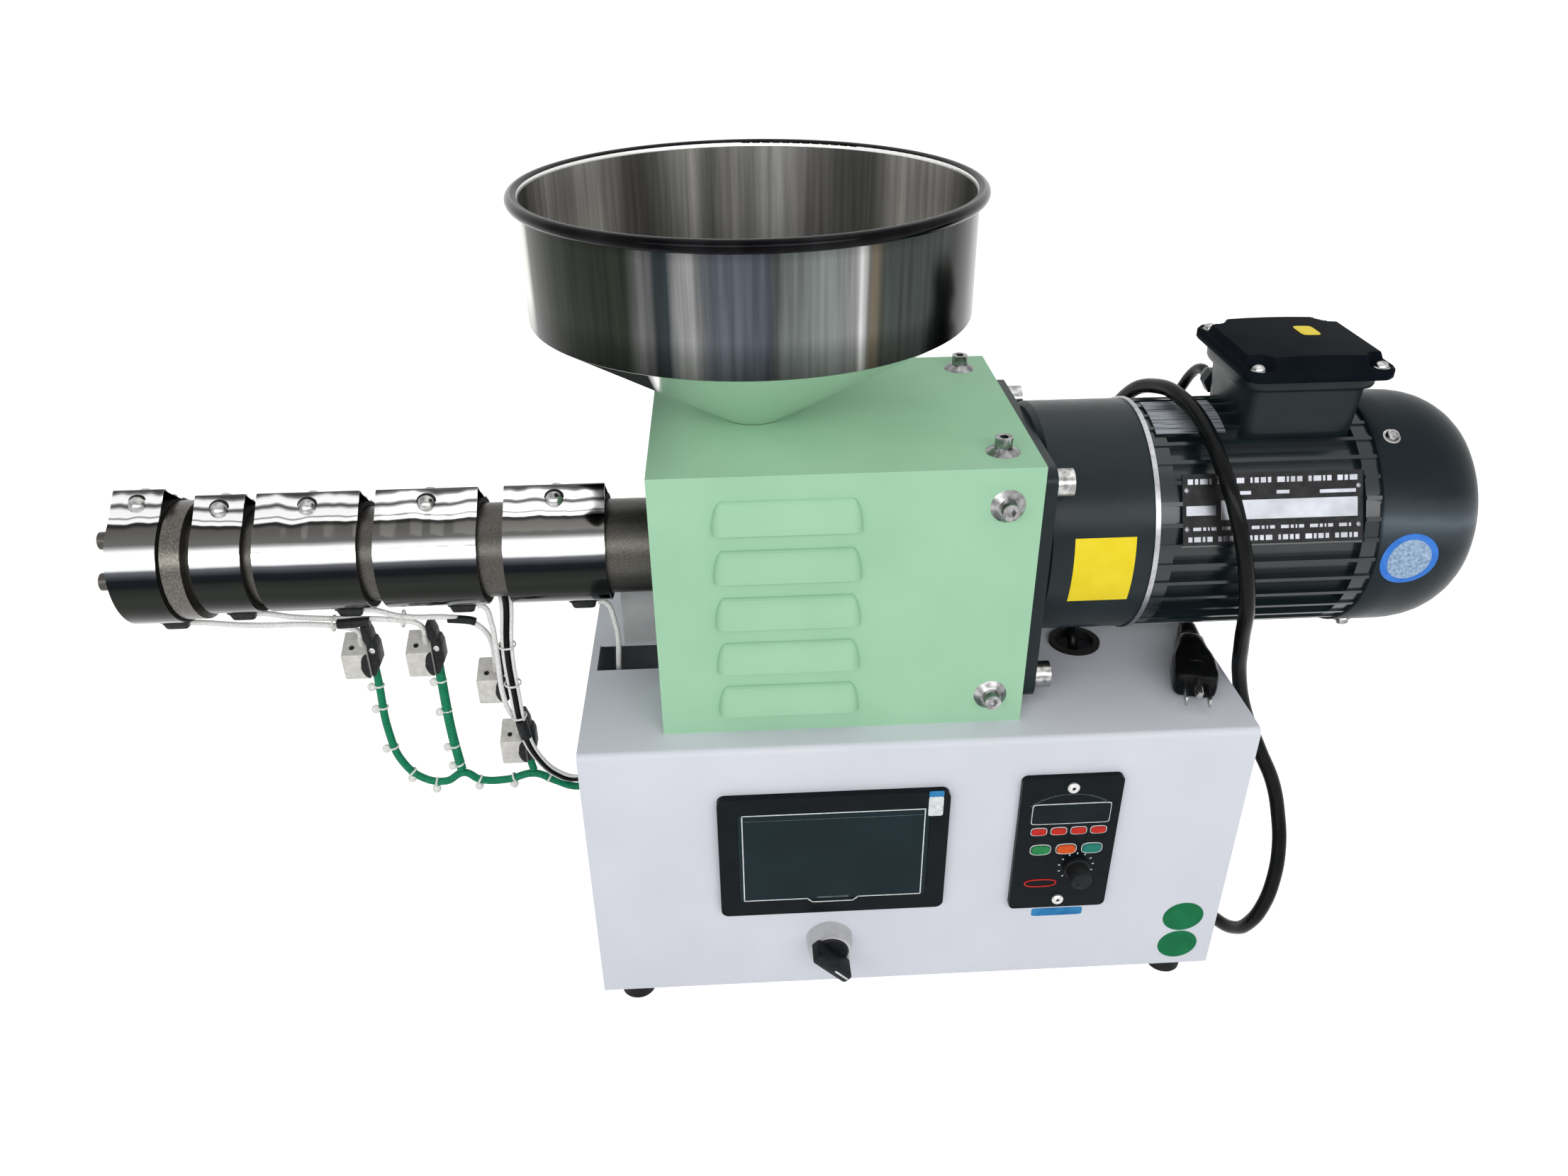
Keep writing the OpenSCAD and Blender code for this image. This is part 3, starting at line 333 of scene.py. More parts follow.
nylon = plain_finish(
    "black_nylon", (0.008, 0.009, 0.010), (0.016, 0.017, 0.018), 4, rough=0.42, shine=0.105,
    skin=(0.8, 0.05),
)
dress("cord_gland", nylon)

# ---- Heater and sensor leads ----
# Each band heater takes its current through a cast plug that hangs under the barrel. White
# glass-fibre leads go in at its sloping top and green sleeved leads come out below it;
# nylon ties with round heads hold them together on their way into the cabinet.
white_braid = plain_finish(
    "white_braid", (0.66, 0.66, 0.65), (0.94, 0.94, 0.92), 0.9, rough=0.7, shine=0.07,
    skin=(0.7, 0.3),
)
green_sleeve = plain_finish(
    "green_sleeve", (0.003, 0.13, 0.06), (0.012, 0.26, 0.13), 1.0, rough=0.45, shine=0.14,
    skin=(0.8, 0.2),
)
shrink_sleeve = plain_finish(
    "shrink_sleeve", (0.010, 0.011, 0.012), (0.026, 0.027, 0.028), 3, rough=0.4, shine=0.105,
)
tie_nylon = plain_finish(
    "tie_nylon", (0.60, 0.61, 0.59), (0.86, 0.87, 0.84), 1.5, rough=0.35, skin=(0.6, 0.1),
)
plug_cast = plain_finish(
    "plug_cast", (0.52, 0.51, 0.48), (0.64, 0.63, 0.60), 4, metal=0.15, rough=0.4,
    skin=(1.1, 0.08),
)
lead_routes = [
    [(-460.5, -4, 259), (-456, -4, 259), (-425, -5.5, 256.5), (-378, -5, 254.5),
     (-362, -2.5, 249.5), (-357.5, 0, 245), (-357.5, 0, 238)],
    [(-417, -4, 264), (-413, -4, 264), (-396, -1.5, 259), (-330, -1.5, 253.8),
     (-318.5, -1, 250.5), (-315.5, 0, 245.5), (-315.5, 0, 238)],
    [(-349, -4, 264), (-345, -4, 264), (-328, -5.5, 259.5), (-284, -5, 253.5),
     (-275, -3, 244), (-272.5, 0, 232), (-272.5, 0, 214)],
    [(-277, -4, 264), (-273.5, -4, 264), (-268.5, -9, 253), (-267.5, -12.2, 236),
     (-267.3, -12.2, 195), (-265, -7, 178), (-263.5, 0, 169.5), (-263.5, 0, 162)],
    [(-199, -4, 264), (-195, -4, 264), (-189.7, -5, 252), (-189.7, -5, 206)],
]
for number, route in enumerate(lead_routes, 1):
    lead = lay_line(f"heater_lead_{number}", route, 3.6, white_braid)
    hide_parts(f"braided_lead_{number}")
green_routes = [
    [(-352, 0, 216), (-352, 0, 205), (-351.5, -3, 165), (-346, -4, 139), (-334, -4, 124),
     (-319, -4, 120.5), (-305, -4, 127.5), (-295, -4, 120.8), (-276, -4, 119.8),
     (-256, -4, 124.3), (-243, -4, 117.5), (-230, -2.5, 109.9), (-222.5, -2.5, 109.9)],
    [(-310, 0, 216), (-310, 0, 205), (-309, -3, 165), (-306.5, -4, 131)],
    [(-258.5, 0, 140), (-258.5, 0, 133), (-256.5, -3, 126.5)],
]
for number, (route, width) in enumerate(zip(green_routes, (5.4, 6.6, 5.4)), 1):
    lead = lay_line(f"thermocouple_lead_{number}", route, width, green_sleeve)
    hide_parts(f"sensor_lead_{number}")
bundle_route = [
    (-258.5, -4, 271), (-258.5, -4, 264), (-260.5, -11, 236), (-260, -12, 200),
    (-257.5, -14, 170), (-250.5, -12.5, 145), (-238, -5, 122), (-230, -2.5, 116.7),
    (-222.5, -2.5, 116.7),
]
bundle_core = lay_line("bundle_black_lead", bundle_route, 4.2, cord_pvc)
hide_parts("wire_bundle")
for name, aside, shrink in (("left", -3.2, 0.4), ("right", 3.4, 0.45)):
    beside = []
    for i, (x, y, z) in enumerate(bundle_route):
        close = 1 - shrink * min(i, 6) / 6
        beside.append((x + aside * close, y + 0.6, z + (0.4 * aside if i > 5 else 0)))
    lay_line(f"bundle_white_lead_{name}", beside, 2.9, white_braid)
for number, (route, width) in enumerate((
    ([(-368, -4.8, 254.6), (-366, -4.8, 254.6), (-350, -3, 254.6), (-348, -3, 254.6)], 6.6),
    ([(-297, -5.2, 255.8), (-295, -5.2, 255.6), (-282, -5, 253.6), (-280, -4.6, 252.4)], 5.6),
    ([(-257.9, -13.6, 178), (-257.8, -13.7, 176), (-256.4, -13.8, 166), (-256, -13.8, 164)], 8),
), 1):
    lay_line(f"shrink_sleeve_{number}", route, width, shrink_sleeve)


def add_prism(shape, outline, place, length, edge, mark=0):
    """A beveled prism on an outline in X and Y, as long as asked along Z, then placed."""
    prism = bmesh.new()
    foot = prism.faces.new([prism.verts.new((x, y, 0)) for x, y in outline])
    lifted = bmesh.ops.extrude_face_region(prism, geom=[foot])["geom"]
    for vert in (each for each in lifted if isinstance(each, bmesh.types.BMVert)):
        vert.co.z = length
    bmesh.ops.recalc_face_normals(prism, faces=prism.faces)
    bmesh.ops.bevel(
        prism, geom=prism.edges[:], offset=edge, segments=2, profile=0.5,
        affect="EDGES", clamp_overlap=True,
    )
    add_shape(shape, prism, place, mark)


along_x = Matrix(((0, 0, 1, 0), (1, 0, 0, 0), (0, 1, 0, 0), (0, 0, 0, 1)))
on_front = Matrix.Rotation(math.radians(90), 4, "X")
for number, spot in enumerate(((-358, 0, 233), (-316, 0, 233), (-273, 0, 209), (-264, 0, 157)), 1):
    body = bmesh.new()
    add_prism(
        body, [(-9, -18.5), (-8, -20), (8, -20), (9, -18.5), (9, 7), (-9, -1)],
        Matrix.Translation((-12, 0, 0)) @ along_x, 17, 1.0,
    )
    add_prism(
        body,
        [(0, -20), (2, -20), (7, -10), (7, 2), (5.6, 6.5), (4.4, 6.8), (4.0, 11.5), (1.5, 19),
         (-1.5, 19), (-1.5, 9), (0, 6)],
        Matrix.Translation((5, 6, 0)) @ on_front, 12, 0.9, 1,
    )
    add_turned(
        body, [(0, -1), (2.9, -1), (2.6, 5), (2.2, 8), (1.7, 8.2), (0, 8.2)],
        Matrix.Translation((0.5, 0, 0)), 24,
    )
    slope = facing((-5.5, -3.2, 1.75), (0, -0.406, 0.914))
    add_turned(body, [(0, -0.6), (1.7, -0.6), (1.7, 0.12), (1.4, 0.2), (0, 0.2)], slope, 20, 1)
    cheek = []
    for degrees in range(0, 181, 12):
        a = math.radians(degrees)
        cheek.append((-5.2 * math.sin(a) * (0.9 if degrees < 90 else 1.0), 9.3 * math.cos(a) - 9.5))
    add_prism(body, cheek, Matrix.Translation((5, -8.5, 0)) @ on_front, 0.8, 0.2, 1)
    rivet = facing((8.2, -5.6, 0.5), (0, -1, 0))
    add_turned(body, [(0, 0), (2.1, 0), (2.1, 0.6), (1.4, 1.1), (0, 1.2)], rivet, 20, 2)
    bmesh.ops.translate(body, vec=Vector(spot), verts=body.verts)
    made = place_piece(
        f"cast_plug_{number}", body, [plug_cast, shrink_sleeve, bright_zinc],
    )
    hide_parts(f"heater_plug_{number}")


def add_tie(shape, spot, direction, reach, head):
    """A nylon tie drawn round a lead, with its round head on one side."""
    half_thick = 0.55
    half_broad = 0.75
    head_out = 1.9
    rings = []
    for i in range(25):
        a = math.radians(i * 15)
        out = Vector((math.cos(a), math.sin(a), 0))
        rings.append([
            out * (reach + half_thick * math.cos(b)) + Vector((0, 0, half_broad * math.sin(b)))
            for b in (math.radians(60 * k) for k in range(6))
        ])
    loop = bmesh.new()
    add_rings(loop, rings, close_ends=False)
    bmesh.ops.remove_doubles(loop, verts=loop.verts, dist=0.001)
    add_shape(shape, loop, facing(spot, direction))
    if head:
        ball = Vector(spot) + Vector(head).normalized() * (reach + head_out)
        add_turned(
            shape, [(0, -1.6), (2.0, -1.6), (2.9, -0.7), (2.9, 0.7), (2.0, 1.6), (0, 1.6)],
            facing(ball, (0.1, -1, 0.5)), 20,
        )


ties = bmesh.new()
left = (-1, -0.25, -0.1)
below = (-0.1, -0.35, -1)
for spot, direction, reach, head in (
    ((-352, 0, 202), (0, -0.05, -1), 3.1, left), ((-352, -1.3, 184.7), (0, -0.1, -1), 3.1, left),
    ((-350, -3.7, 152.5), (0.18, 0, -0.98), 3.1, left),
    ((-340.9, -4, 130.5), (0.62, 0, -0.78), 3.1, below),
    ((-325.4, -4, 120.1), (0.98, 0, -0.19), 3.1, below),
    ((-295.3, -4, 121), (0.83, 0, -0.56), 3.1, below),
    ((-270.6, -4, 121.6), (0.94, 0, 0.33), 3.1, below),
    ((-246.6, -4.1, 120), (0.83, 0, -0.56), 3.1, None),
    ((-310, 0, 204.3), (0, 0, -1), 3.1, left), ((-309.6, -1.6, 180.3), (0, -0.1, -1), 3.1, left),
    ((-308.2, -3.9, 151.8), (0.07, 0, -1), 3.1, left), ((-307, -4.2, 135.7), (0.3, 0, -1), 3.1, left),
    ((-371, -3, 254.3), (1, 0, -0.1), 5.2, None), ((-326, -3.3, 256), (1, 0, -0.1), 5.6, None),
    ((-260.4, -10.7, 237.5), (0, 0, -1), 5.6, None), ((-260, -12, 208), (0, 0, -1), 5.4, None),
    ((-259, -13, 181.5), (0, 0, -1), 5, None),
):
    add_tie(ties, spot, direction, reach, head)
place_piece("cable_ties", ties, tie_nylon, sharp=50)
dress("harness_gland", nylon)

# ---- Cabinet ----
# A folded sheet-steel cabinet in a pale satin coat, with screwed sides, a louvred back and
# a thick base plate on four rubber feet. A few blank paper stickers stand on its front.
pale_coat = plain_finish(
    "pale_coat", (0.635, 0.655, 0.715), (0.675, 0.695, 0.755), 60, rough=0.36, shine=0.122,
    skin=(1.6, 0.05),
)
for node in ("cabinet_shell", "cabinet_left_side", "cabinet_right_side", "cabinet_back", "cabinet_base"):
    dress(node, pale_coat, edge_mm=2.0 if node == "cabinet_shell" else 0.8)
soft_rubber = plain_finish(
    "soft_rubber", (0.008, 0.008, 0.008), (0.02, 0.02, 0.02), 6, rough=0.6, shine=0.105,
    skin=(0.9, 0.1),
)
dress("rubber_feet", soft_rubber)
dress("cable_grommet", soft_rubber)


def add_oval(shape, centre, half_w, half_h, mark=0, power=2, ring=0, thick=0.25, turn=on_front):
    """A thin oval or rounded patch round a centre, or only its outline of a given width."""
    rows = []
    for grow, height in ((1, 0), (1, thick * 0.6), (0.995, thick)):
        rows.append([
            Vector((p.y * grow, p.z * grow, height)) for p in boxy_ring(0, half_w, half_h, power, 40)
        ])
    patch = bmesh.new()
    if ring:
        inner = [Vector((p.y, p.z, thick)) for p in boxy_ring(0, half_w - ring, half_h - ring, power, 40)]
        inner_low = [Vector((p.x, p.y, 0)) for p in inner]
        add_rings(patch, rows + [inner, inner_low], close_ends=False)
    else:
        add_rings(patch, rows)
    add_shape(shape, patch, Matrix.Translation(centre) @ turn, mark)


green_paper = plain_finish(
    "green_paper", (0.003, 0.13, 0.045), (0.005, 0.165, 0.06), 12, rough=0.5, shine=0.105,
)
blue_paper = plain_finish(
    "blue_paper", (0.015, 0.15, 0.36), (0.04, 0.24, 0.50), 9, rough=0.45, shine=0.105,
)
cabinet_front = -110
stickers = bmesh.new()
add_oval(stickers, (184.2, cabinet_front, 64.2), 13.8, 12.6)
add_oval(stickers, (184.2, cabinet_front, 38.4), 13.5, 12.4)
add_oval(stickers, (96.8, cabinet_front, 74.7), 17, 3.4, 1, power=9)
place_piece("front_stickers", stickers, [green_paper, blue_paper])

# ---- Barrel, feed block and die ----
# A nitrided steel barrel screwed into a square feed block that stands on a plate. Its far
# end carries the die, clamped by a turned ring and six socket screws. The feed screw in it
# has one flight round a core that grows thicker towards the die.
plate_steel = plain_finish("plate_steel", (0.48, 0.50, 0.51), (0.56, 0.58, 0.58), 14)
dress("barrel_pedestal", plate_steel)
nitrided_steel = plain_finish(
    "nitrided_steel", (0.058, 0.056, 0.05), (0.095, 0.09, 0.081), 1.1, metal=0.9, rough=0.36,
    skin=(0.9, 0.05),
)
for node in ("feed_block", "thrust_housing", "barrel_tube", "die_head", "die_bolts"):
    dress(node, nitrided_steel)
turned_ring = plain_finish(
    "turned_ring", (0.075, 0.071, 0.064), (0.165, 0.155, 0.14), 1.2, metal=0.9, rough=0.3,
    skin=(1.0, 0.08),
)
dress("die_ring", turned_ring, edge_mm=1)
barrel_axis_z = 303
screw_left = -441
screw_right = -38
flight_r = 12.2
feed_core_r = 8
die_core_r = 10
turn_steps = 24
flight_steps = 3
screw_steps = 387
screw_shape = bmesh.new()
rings = []
for i in range(screw_steps + 1):
    share = i / screw_steps
    x = screw_left + (screw_right - screw_left) * share
    core_r = die_core_r + (feed_core_r - die_core_r) * share
    ring = []
    for j in range(turn_steps):
        r = flight_r if (i - j) % turn_steps < flight_steps else core_r
        a = math.tau * j / turn_steps
        ring.append((x, r * math.sin(a), barrel_axis_z + r * math.cos(a)))
    rings.append(ring)
add_rings(screw_shape, rings)
screw = place_piece("threaded_screw", screw_shape, bright_zinc, sharp=30)
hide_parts("feed_screw")

# ---- Band heaters ----
# Mica band heaters in thin polished steel sheet, wrapped round the barrel. The sheet's ends
# bend up into a hollow ridge, drawn tight by a bolt, and have crept in shallow waves. A dark
# connection box hangs below each band.


def feed(tree, value, socket):
    """Gives a socket a plain value, or links another socket to it."""
    if isinstance(value, bpy.types.NodeSocket):
        tree.links.new(value, socket)
    else:
        socket.default_value = value


def work_out(tree, operation, *values, kind="Math", gives="Value"):
    """What a Math node, or a VectorMath node, makes of some values."""
    step = tree.nodes.new("ShaderNode" + kind)
    step.operation = operation
    for value, socket in zip(values, step.inputs):
        feed(tree, value, socket)
    return step.outputs[gives]


def blend(tree, share, first, second, how="MIX"):
    """Two colours mixed by a share, or the first darkened by the second."""
    mixed = tree.nodes.new("ShaderNodeMix")
    mixed.data_type = "RGBA"
    mixed.blend_type = how
    feed(tree, share, mixed.inputs["Factor"])
    feed(tree, first, mixed.inputs["A"])
    feed(tree, second, mixed.inputs["B"])
    return mixed.outputs["Result"]


def bearing(tree, centre, ahead, aside, unevenness, stretch, grain=22):
    """The bearing round an axis through a point: 0.5 ahead, 0.75 aside, with some unevenness."""
    place = tree.nodes.new("ShaderNodeTexCoord").outputs["Object"]
    moved = work_out(tree, "SUBTRACT", place, metres(centre), kind="VectorMath", gives="Vector")
    across = work_out(tree, "DOT_PRODUCT", moved, aside, kind="VectorMath")
    along = work_out(tree, "DOT_PRODUCT", moved, ahead, kind="VectorMath")
    turn = work_out(tree, "ARCTAN2", across, along)
    share = work_out(tree, "MULTIPLY_ADD", turn, 1 / math.tau, 0.5 - unevenness / 2)
    return work_out(tree, "MULTIPLY_ADD", mottle(tree, grain, 2, stretch), unevenness, share)


def by_degrees(tree, value, stops):
    """Colours along a bearing, each stop an angle in degrees and a grey or a colour."""
    ready = []
    for angle, colour in stops:
        colour = colour if isinstance(colour, tuple) else (colour, colour, colour)
        ready.append((0.5 + angle / 360, colour))
    return tones(tree, value, *ready)


polished_sheet, tree, shader = start_finish("polished_sheet", 1.0, 0.14)
on_axis = (0, 0, barrel_axis_z)
wavy = bearing(tree, on_axis, (0, 0, 1), (0, -1, 0), 0.034, (0.9, 0.3, 0.3))
straight = bearing(tree, on_axis, (0, 0, 1), (0, -1, 0), 0.008, (0.6, 0.3, 0.3))
# The sheet's colour is painted reflection by the angle round the barrel: bright bands stand for mirrored
# lamps and dark bands for the mirrored room, and the ridge's flaps carry wavy painted highlights.
flap_painted_reflection = by_degrees(tree, wavy, [
    (-179, 0.03), (-30, 0.05), (-26, 0.9), (-21, 0.95), (-19, 0.08), (-14, 0.06), (-12, 0.9),
    (-6, 0.9), (-4, 0.1), (2.5, 0.04), (4.5, 0.95), (9, 0.97), (10, 0.068),
    (12, 0.0408), (13.5, 0.9), (20, 0.95), (21, 0.102), (22.2, 0.95), (25.5, 0.97), (26.5, 0.034),
    (29, 0.017), (32, (0.0952, 0.0918, 0.085)), (40, (0.122, 0.119, 0.112)), (179, 0.102),
])
wrap_painted_reflection = by_degrees(tree, straight, [
    (-179, 0.02), (-128, 0.008), (-100, (0.03, 0.033, 0.03)), (-82, (0.01, 0.011, 0.013)),
    (-76, (0.07, 0.075, 0.09)), (-71, 0.93), (-55, 0.96), (-51, 0.4), (-46, 0.14),
    (30, (0.0876, 0.0845, 0.0782)), (40, (0.119, 0.116, 0.106)),
    (48, 0.144), (51, 0.457), (53, 0.95), (57, 0.98), (58, 0.085), (59.2, 0.97),
    (69.5, (0.95, 0.97, 0.98)), (71.5, (0.153, 0.156, 0.17)), (76, (0.0544, 0.0571, 0.068)),
    (79.5, (0.00872, 0.0103, 0.0136)), (85, (0.006, 0.00704, 0.00816)),
    (89, (0.0158, 0.0171, 0.0163)), (99, (0.0218, 0.0245, 0.0212)),
    (116, (0.0114, 0.013, 0.0109)), (130, (0.006, 0.00704, 0.00568)), (179, 0.019),
])
past_the_flap = by_degrees(tree, straight, [
    (-179, 1.0), (-37, 1.0), (-33, 0.0), (33, 0.0), (37, 1.0), (179, 1.0),
])
tree.links.new(blend(tree, past_the_flap, flap_painted_reflection, wrap_painted_reflection), shader.inputs["Base Color"])
tree.links.new(spread(tree, mottle(tree, 9), 0.08, 0.15), shader.inputs["Roughness"])
relief(tree, shader, mottle(tree, 16, 1, (0.6, 1, 1)), 0.2, 0.3)
dark_mica = plain_finish(
    "dark_mica", (0.012, 0.012, 0.012), (0.03, 0.029, 0.026), 2, rough=0.7, shine=0.07,
)


def flap_profile(radius, waves):
    """Points round a band: from its ridge's front, round below the barrel, to the ridge's back."""
    foot = math.radians(27)
    ridge_h = 9.5
    round_steps = 62
    start = Vector((radius * math.sin(foot), radius * math.cos(foot)))
    top = Vector((1.3, radius + ridge_h - 0.4))
    bend = start + Vector((-math.cos(foot), math.sin(foot))) * 2.2
    points = [Vector((0, radius + ridge_h)), Vector((0.8, radius + ridge_h - 0.1))]
    for i in range(9):
        t = i / 8
        points.append(top * (1 - t) ** 2 + bend * 2 * t * (1 - t) + start * t ** 2)
    for i in range(1, round_steps):
        a = foot + (math.tau - 2 * foot) * i / round_steps
        points.append(Vector((radius * math.sin(a), radius * math.cos(a))))
    back = [Vector((-p.x, p.y)) for p in points[1:11]]
    points += reversed(back)
    shaped = []
    for p in points:
        a = abs(math.atan2(p.x, p.y))
        shaped.append(p - p.normalized() * waves(a, p.x > 0))
    return shaped


def hump(value, middle, width):
    """A soft hump, 1 at its middle, that fades over its width."""
    return math.exp(-((value - middle) / width) ** 2)


def add_band(shape, left, length, radius, wave_depth, phase):
    """One band heater's sheet, its mica lining and the bolt through its ridge."""
    middle = left + length / 2
    sheet_t = 0.9
    step_mm = 1.4
    rings = []
    steps = max(12, round(length / step_mm))
    for i in range(steps + 1):
        x = left + length * i / steps

        def waves(a, front):
            """How far the sheet is pressed in at an angle from the top."""
            turn = x * 0.42 + phase + (0 if front else 2.1) + 0.8 * math.sin(x * 0.17)
            swell = (0.5 + 0.5 * math.sin(turn)) * hump(a, 0.62, 0.24)
            dent = 0.9 * hump(x, middle, 8) * hump(a, 0.2, 0.12)
            return wave_depth * swell + dent

        rings.append([Vector((x, -p.x, barrel_axis_z + p.y)) for p in flap_profile(radius, waves)])
    sheet = bmesh.new()
    linings = []
    for ring in (rings[0], rings[-1]):
        lining = []
        for p in ring:
            out = Vector((0, p.y, p.z - barrel_axis_z))
            inward = out.normalized() * sheet_t
            if out.length > radius + 1:
                inward = Vector((0, math.copysign(sheet_t / 2, p.y) if p.y else 0, 0.75))
            lining.append(p - inward)
        linings.append(lining)
    add_rings(sheet, [linings[0], *rings, linings[1], linings[0]], close_ends=False)
    bmesh.ops.remove_doubles(sheet, verts=sheet.verts, dist=0.0005)
    add_shape(shape, sheet)
    mica = bmesh.new()
    tube = []
    inner = radius - 4
    outer = radius - 1
    start = left + 0.4
    stop = left + length - 0.4
    for reach, x in ((inner, start), (outer, start), (outer, stop), (inner, stop), (inner, start)):
        tube.append([
            Vector((reach * math.cos(k * math.pi / 24), reach * math.sin(k * math.pi / 24), x))
            for k in range(48)
        ])
    add_rings(mica, tube, close_ends=False)
    bmesh.ops.remove_doubles(mica, verts=mica.verts, dist=0.0005)
    add_shape(shape, mica, facing(on_axis, (1, 0, 0)), 1)
    for side in (-1, 1):
        seat = facing((middle, side * 7.2, barrel_axis_z + radius + 2.6), (0, side * 0.82, 0.57))
        add_turned(shape, [(0, -2), (6.9, -2), (6.9, -0.5), (6.3, 0), (0, 0)], seat, 28, 1)
        add_turned(
            shape,
            [(0, -1), (5.3, -1), (5.5, 0.5), (5.0, 1.5), (3.9, 2.8), (2.2, 3.7), (0, 4.0)],
            seat, 28, 2,
        )


def add_hung_box(shape, centre_x, top):
    """A connection box under a band, with a lip and a foot that narrows."""
    box = bmesh.new()
    deep = 9.4
    rings = []
    for drop, share in ((0, 1), (0.25, 1), (0.3, 1.05), (0.38, 1.05), (0.42, 0.96), (0.93, 0.8), (1, 0.72)):
        rings.append([
            Vector((centre_x + p.y * share, p.z * share, top - drop * deep))
            for p in boxy_ring(0, 9, 8, 9)
        ])
    add_rings(box, rings)
    add_shape(shape, box, None, 3)


for node, left, length, radius, outlet, wave_depth, phase in (
    ("band_heater_1", -250, 62, 34.5, -208, 0.2, 0.4),
    ("band_heater_2", -328, 62, 34.5, -286, 0.5, 1.7),
    ("band_heater_3", -400, 62, 34.5, -358, 0.45, 4.0),
    ("short_band_heater", -437, 30, 34.5, -426, 0.2, 2.0),
    ("die_band_heater", -484.5, 30, 39.5, -469.5, 0.2, 5.0),
):
    band = bmesh.new()
    add_band(band, left, length, radius, wave_depth, phase)
    add_hung_box(band, outlet, barrel_axis_z - radius + 1.5)
    made = place_piece(
        f"{node}_sheet", band, [polished_sheet, dark_mica, bright_zinc, shrink_sleeve],
        sharp=40,
    )
    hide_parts(node)

# ---- Hopper ----
# A spun stainless cone with a rolled and brushed wall, and a thick rolled rim. Its neck
# goes down through the cover to the feed block.
hopper_steel, tree, shader = start_finish("hopper_steel", 1.0, 0.2, 0.0)
hopper_centre = (-94.5, 0, 0)
turn_outside = bearing(tree, hopper_centre, (0, -1, 0), (1, 0, 0), 0.012, (1, 1, 0.12), 16)
# The outside's colour is painted reflection by the angle round the hopper: upright bright zones for mirrored
# lamps and dark zones for the mirrored room, and round the back a second pattern of painted streaks.
outside_painted_reflection = by_degrees(tree, turn_outside, [
    (-178, 0.17), (-84, 0.95), (-70, (0.95, 0.92, 0.86)), (-66, (0.0247, 0.0286, 0.0207)),
    (-29, (0.0296, 0.0345, 0.0271)), (-27, 0.119), (-24, 0.101),
    (-22.5, (0.0268, 0.0333, 0.0357)), (-19, (0.0298, 0.0387, 0.0429)), (-17, 0.25),
    (-14.5, 0.298), (-13, 0.155), (-11, (0.101, 0.113, 0.131)), (2.2, (0.0774, 0.0863, 0.107)),
    (3.6, 0.0119), (5, (0.143, 0.158, 0.155)), (17, (0.178, 0.196, 0.19)), (22.4, 0.178),
    (23.2, 0.667), (24.2, 0.588), (25, 0.178), (26.6, (0.143, 0.119, 0.0833)),
    (30, (0.0597, 0.0688, 0.0643)), (50, (0.0459, 0.0551, 0.0505)), (53, 0.00554), (63, 0.00554),
    (66, (0.0643, 0.0688, 0.0643)), (75, (0.0643, 0.0688, 0.0643)), (77, 0.95), (92, 0.9),
    (178, 0.17),
])
back_painted_reflection = by_degrees(tree, turn_outside, [
    (-178, (0.10, 0.11, 0.12)), (-160, (0.07, 0.08, 0.075)), (-156, 0.4), (-148, (0.30, 0.31, 0.30)),
    (-144, (0.08, 0.09, 0.10)), (-112, (0.06, 0.07, 0.065)), (-108, 0.3), (-100, 0.2),
    (-94, (0.09, 0.10, 0.095)), (-86, 0.95), (86, 0.95), (94, (0.10, 0.11, 0.10)),
    (116, (0.07, 0.08, 0.08)), (119, 0.45), (126, (0.28, 0.30, 0.31)), (131, (0.09, 0.10, 0.12)),
    (152, (0.13, 0.14, 0.15)), (156, 0.35), (160, 0.12), (178, (0.10, 0.11, 0.12)),
])
round_back = by_degrees(tree, turn_outside, [
    (-178, 1.0), (-86, 1.0), (-84, 0.0), (84, 0.0), (86, 1.0), (178, 1.0),
])
all_round = blend(tree, round_back, outside_painted_reflection, back_painted_reflection)
turn_inside = bearing(tree, hopper_centre, (0, 1, 0), (1, 0, 0), 0.012, (1, 1, 0.05))
# The inside's colour is painted reflection as well, with painted highlights towards both sides.
inside_painted_reflection = by_degrees(tree, turn_inside, [
    (-178, 0.3), (-120, (0.25, 0.245, 0.23)), (-84, (0.13, 0.125, 0.12)),
    (-71, (0.95, 0.93, 0.89)), (-60, (0.52, 0.51, 0.49)), (-51, (0.83, 0.82, 0.78)),
    (-43, (0.43, 0.42, 0.40)), (-35, (0.20, 0.19, 0.19)), (-29, (0.16, 0.16, 0.15)),
    (-22, (0.36, 0.36, 0.34)), (-16, (0.57, 0.56, 0.53)), (-10, (0.17, 0.17, 0.16)),
    (-4, (0.39, 0.38, 0.36)), (3, (0.36, 0.36, 0.34)), (9, (0.58, 0.58, 0.55)),
    (15, (0.38, 0.37, 0.36)), (21, (0.28, 0.27, 0.26)), (28, (0.21, 0.21, 0.20)),
    (35, (0.18, 0.18, 0.17)), (42, (0.22, 0.22, 0.21)), (50, (0.77, 0.76, 0.73)),
    (59, (0.73, 0.72, 0.69)), (70, (0.95, 0.93, 0.89)), (84, (0.14, 0.14, 0.13)), (178, 0.3),
])
place = tree.nodes.new("ShaderNodeTexCoord")
spot = tree.nodes.new("ShaderNodeSeparateXYZ")
tree.links.new(place.outputs["Object"], spot.inputs["Vector"])
from_axis = work_out(
    tree, "MULTIPLY_ADD", place.outputs["Object"], (1, 1, 0), -metres(hopper_centre),
    kind="VectorMath", gives="Vector",
)
outward = work_out(tree, "DOT_PRODUCT", place.outputs["Normal"], from_axis, kind="VectorMath")
is_out = work_out(tree, "GREATER_THAN", outward, 0.0)
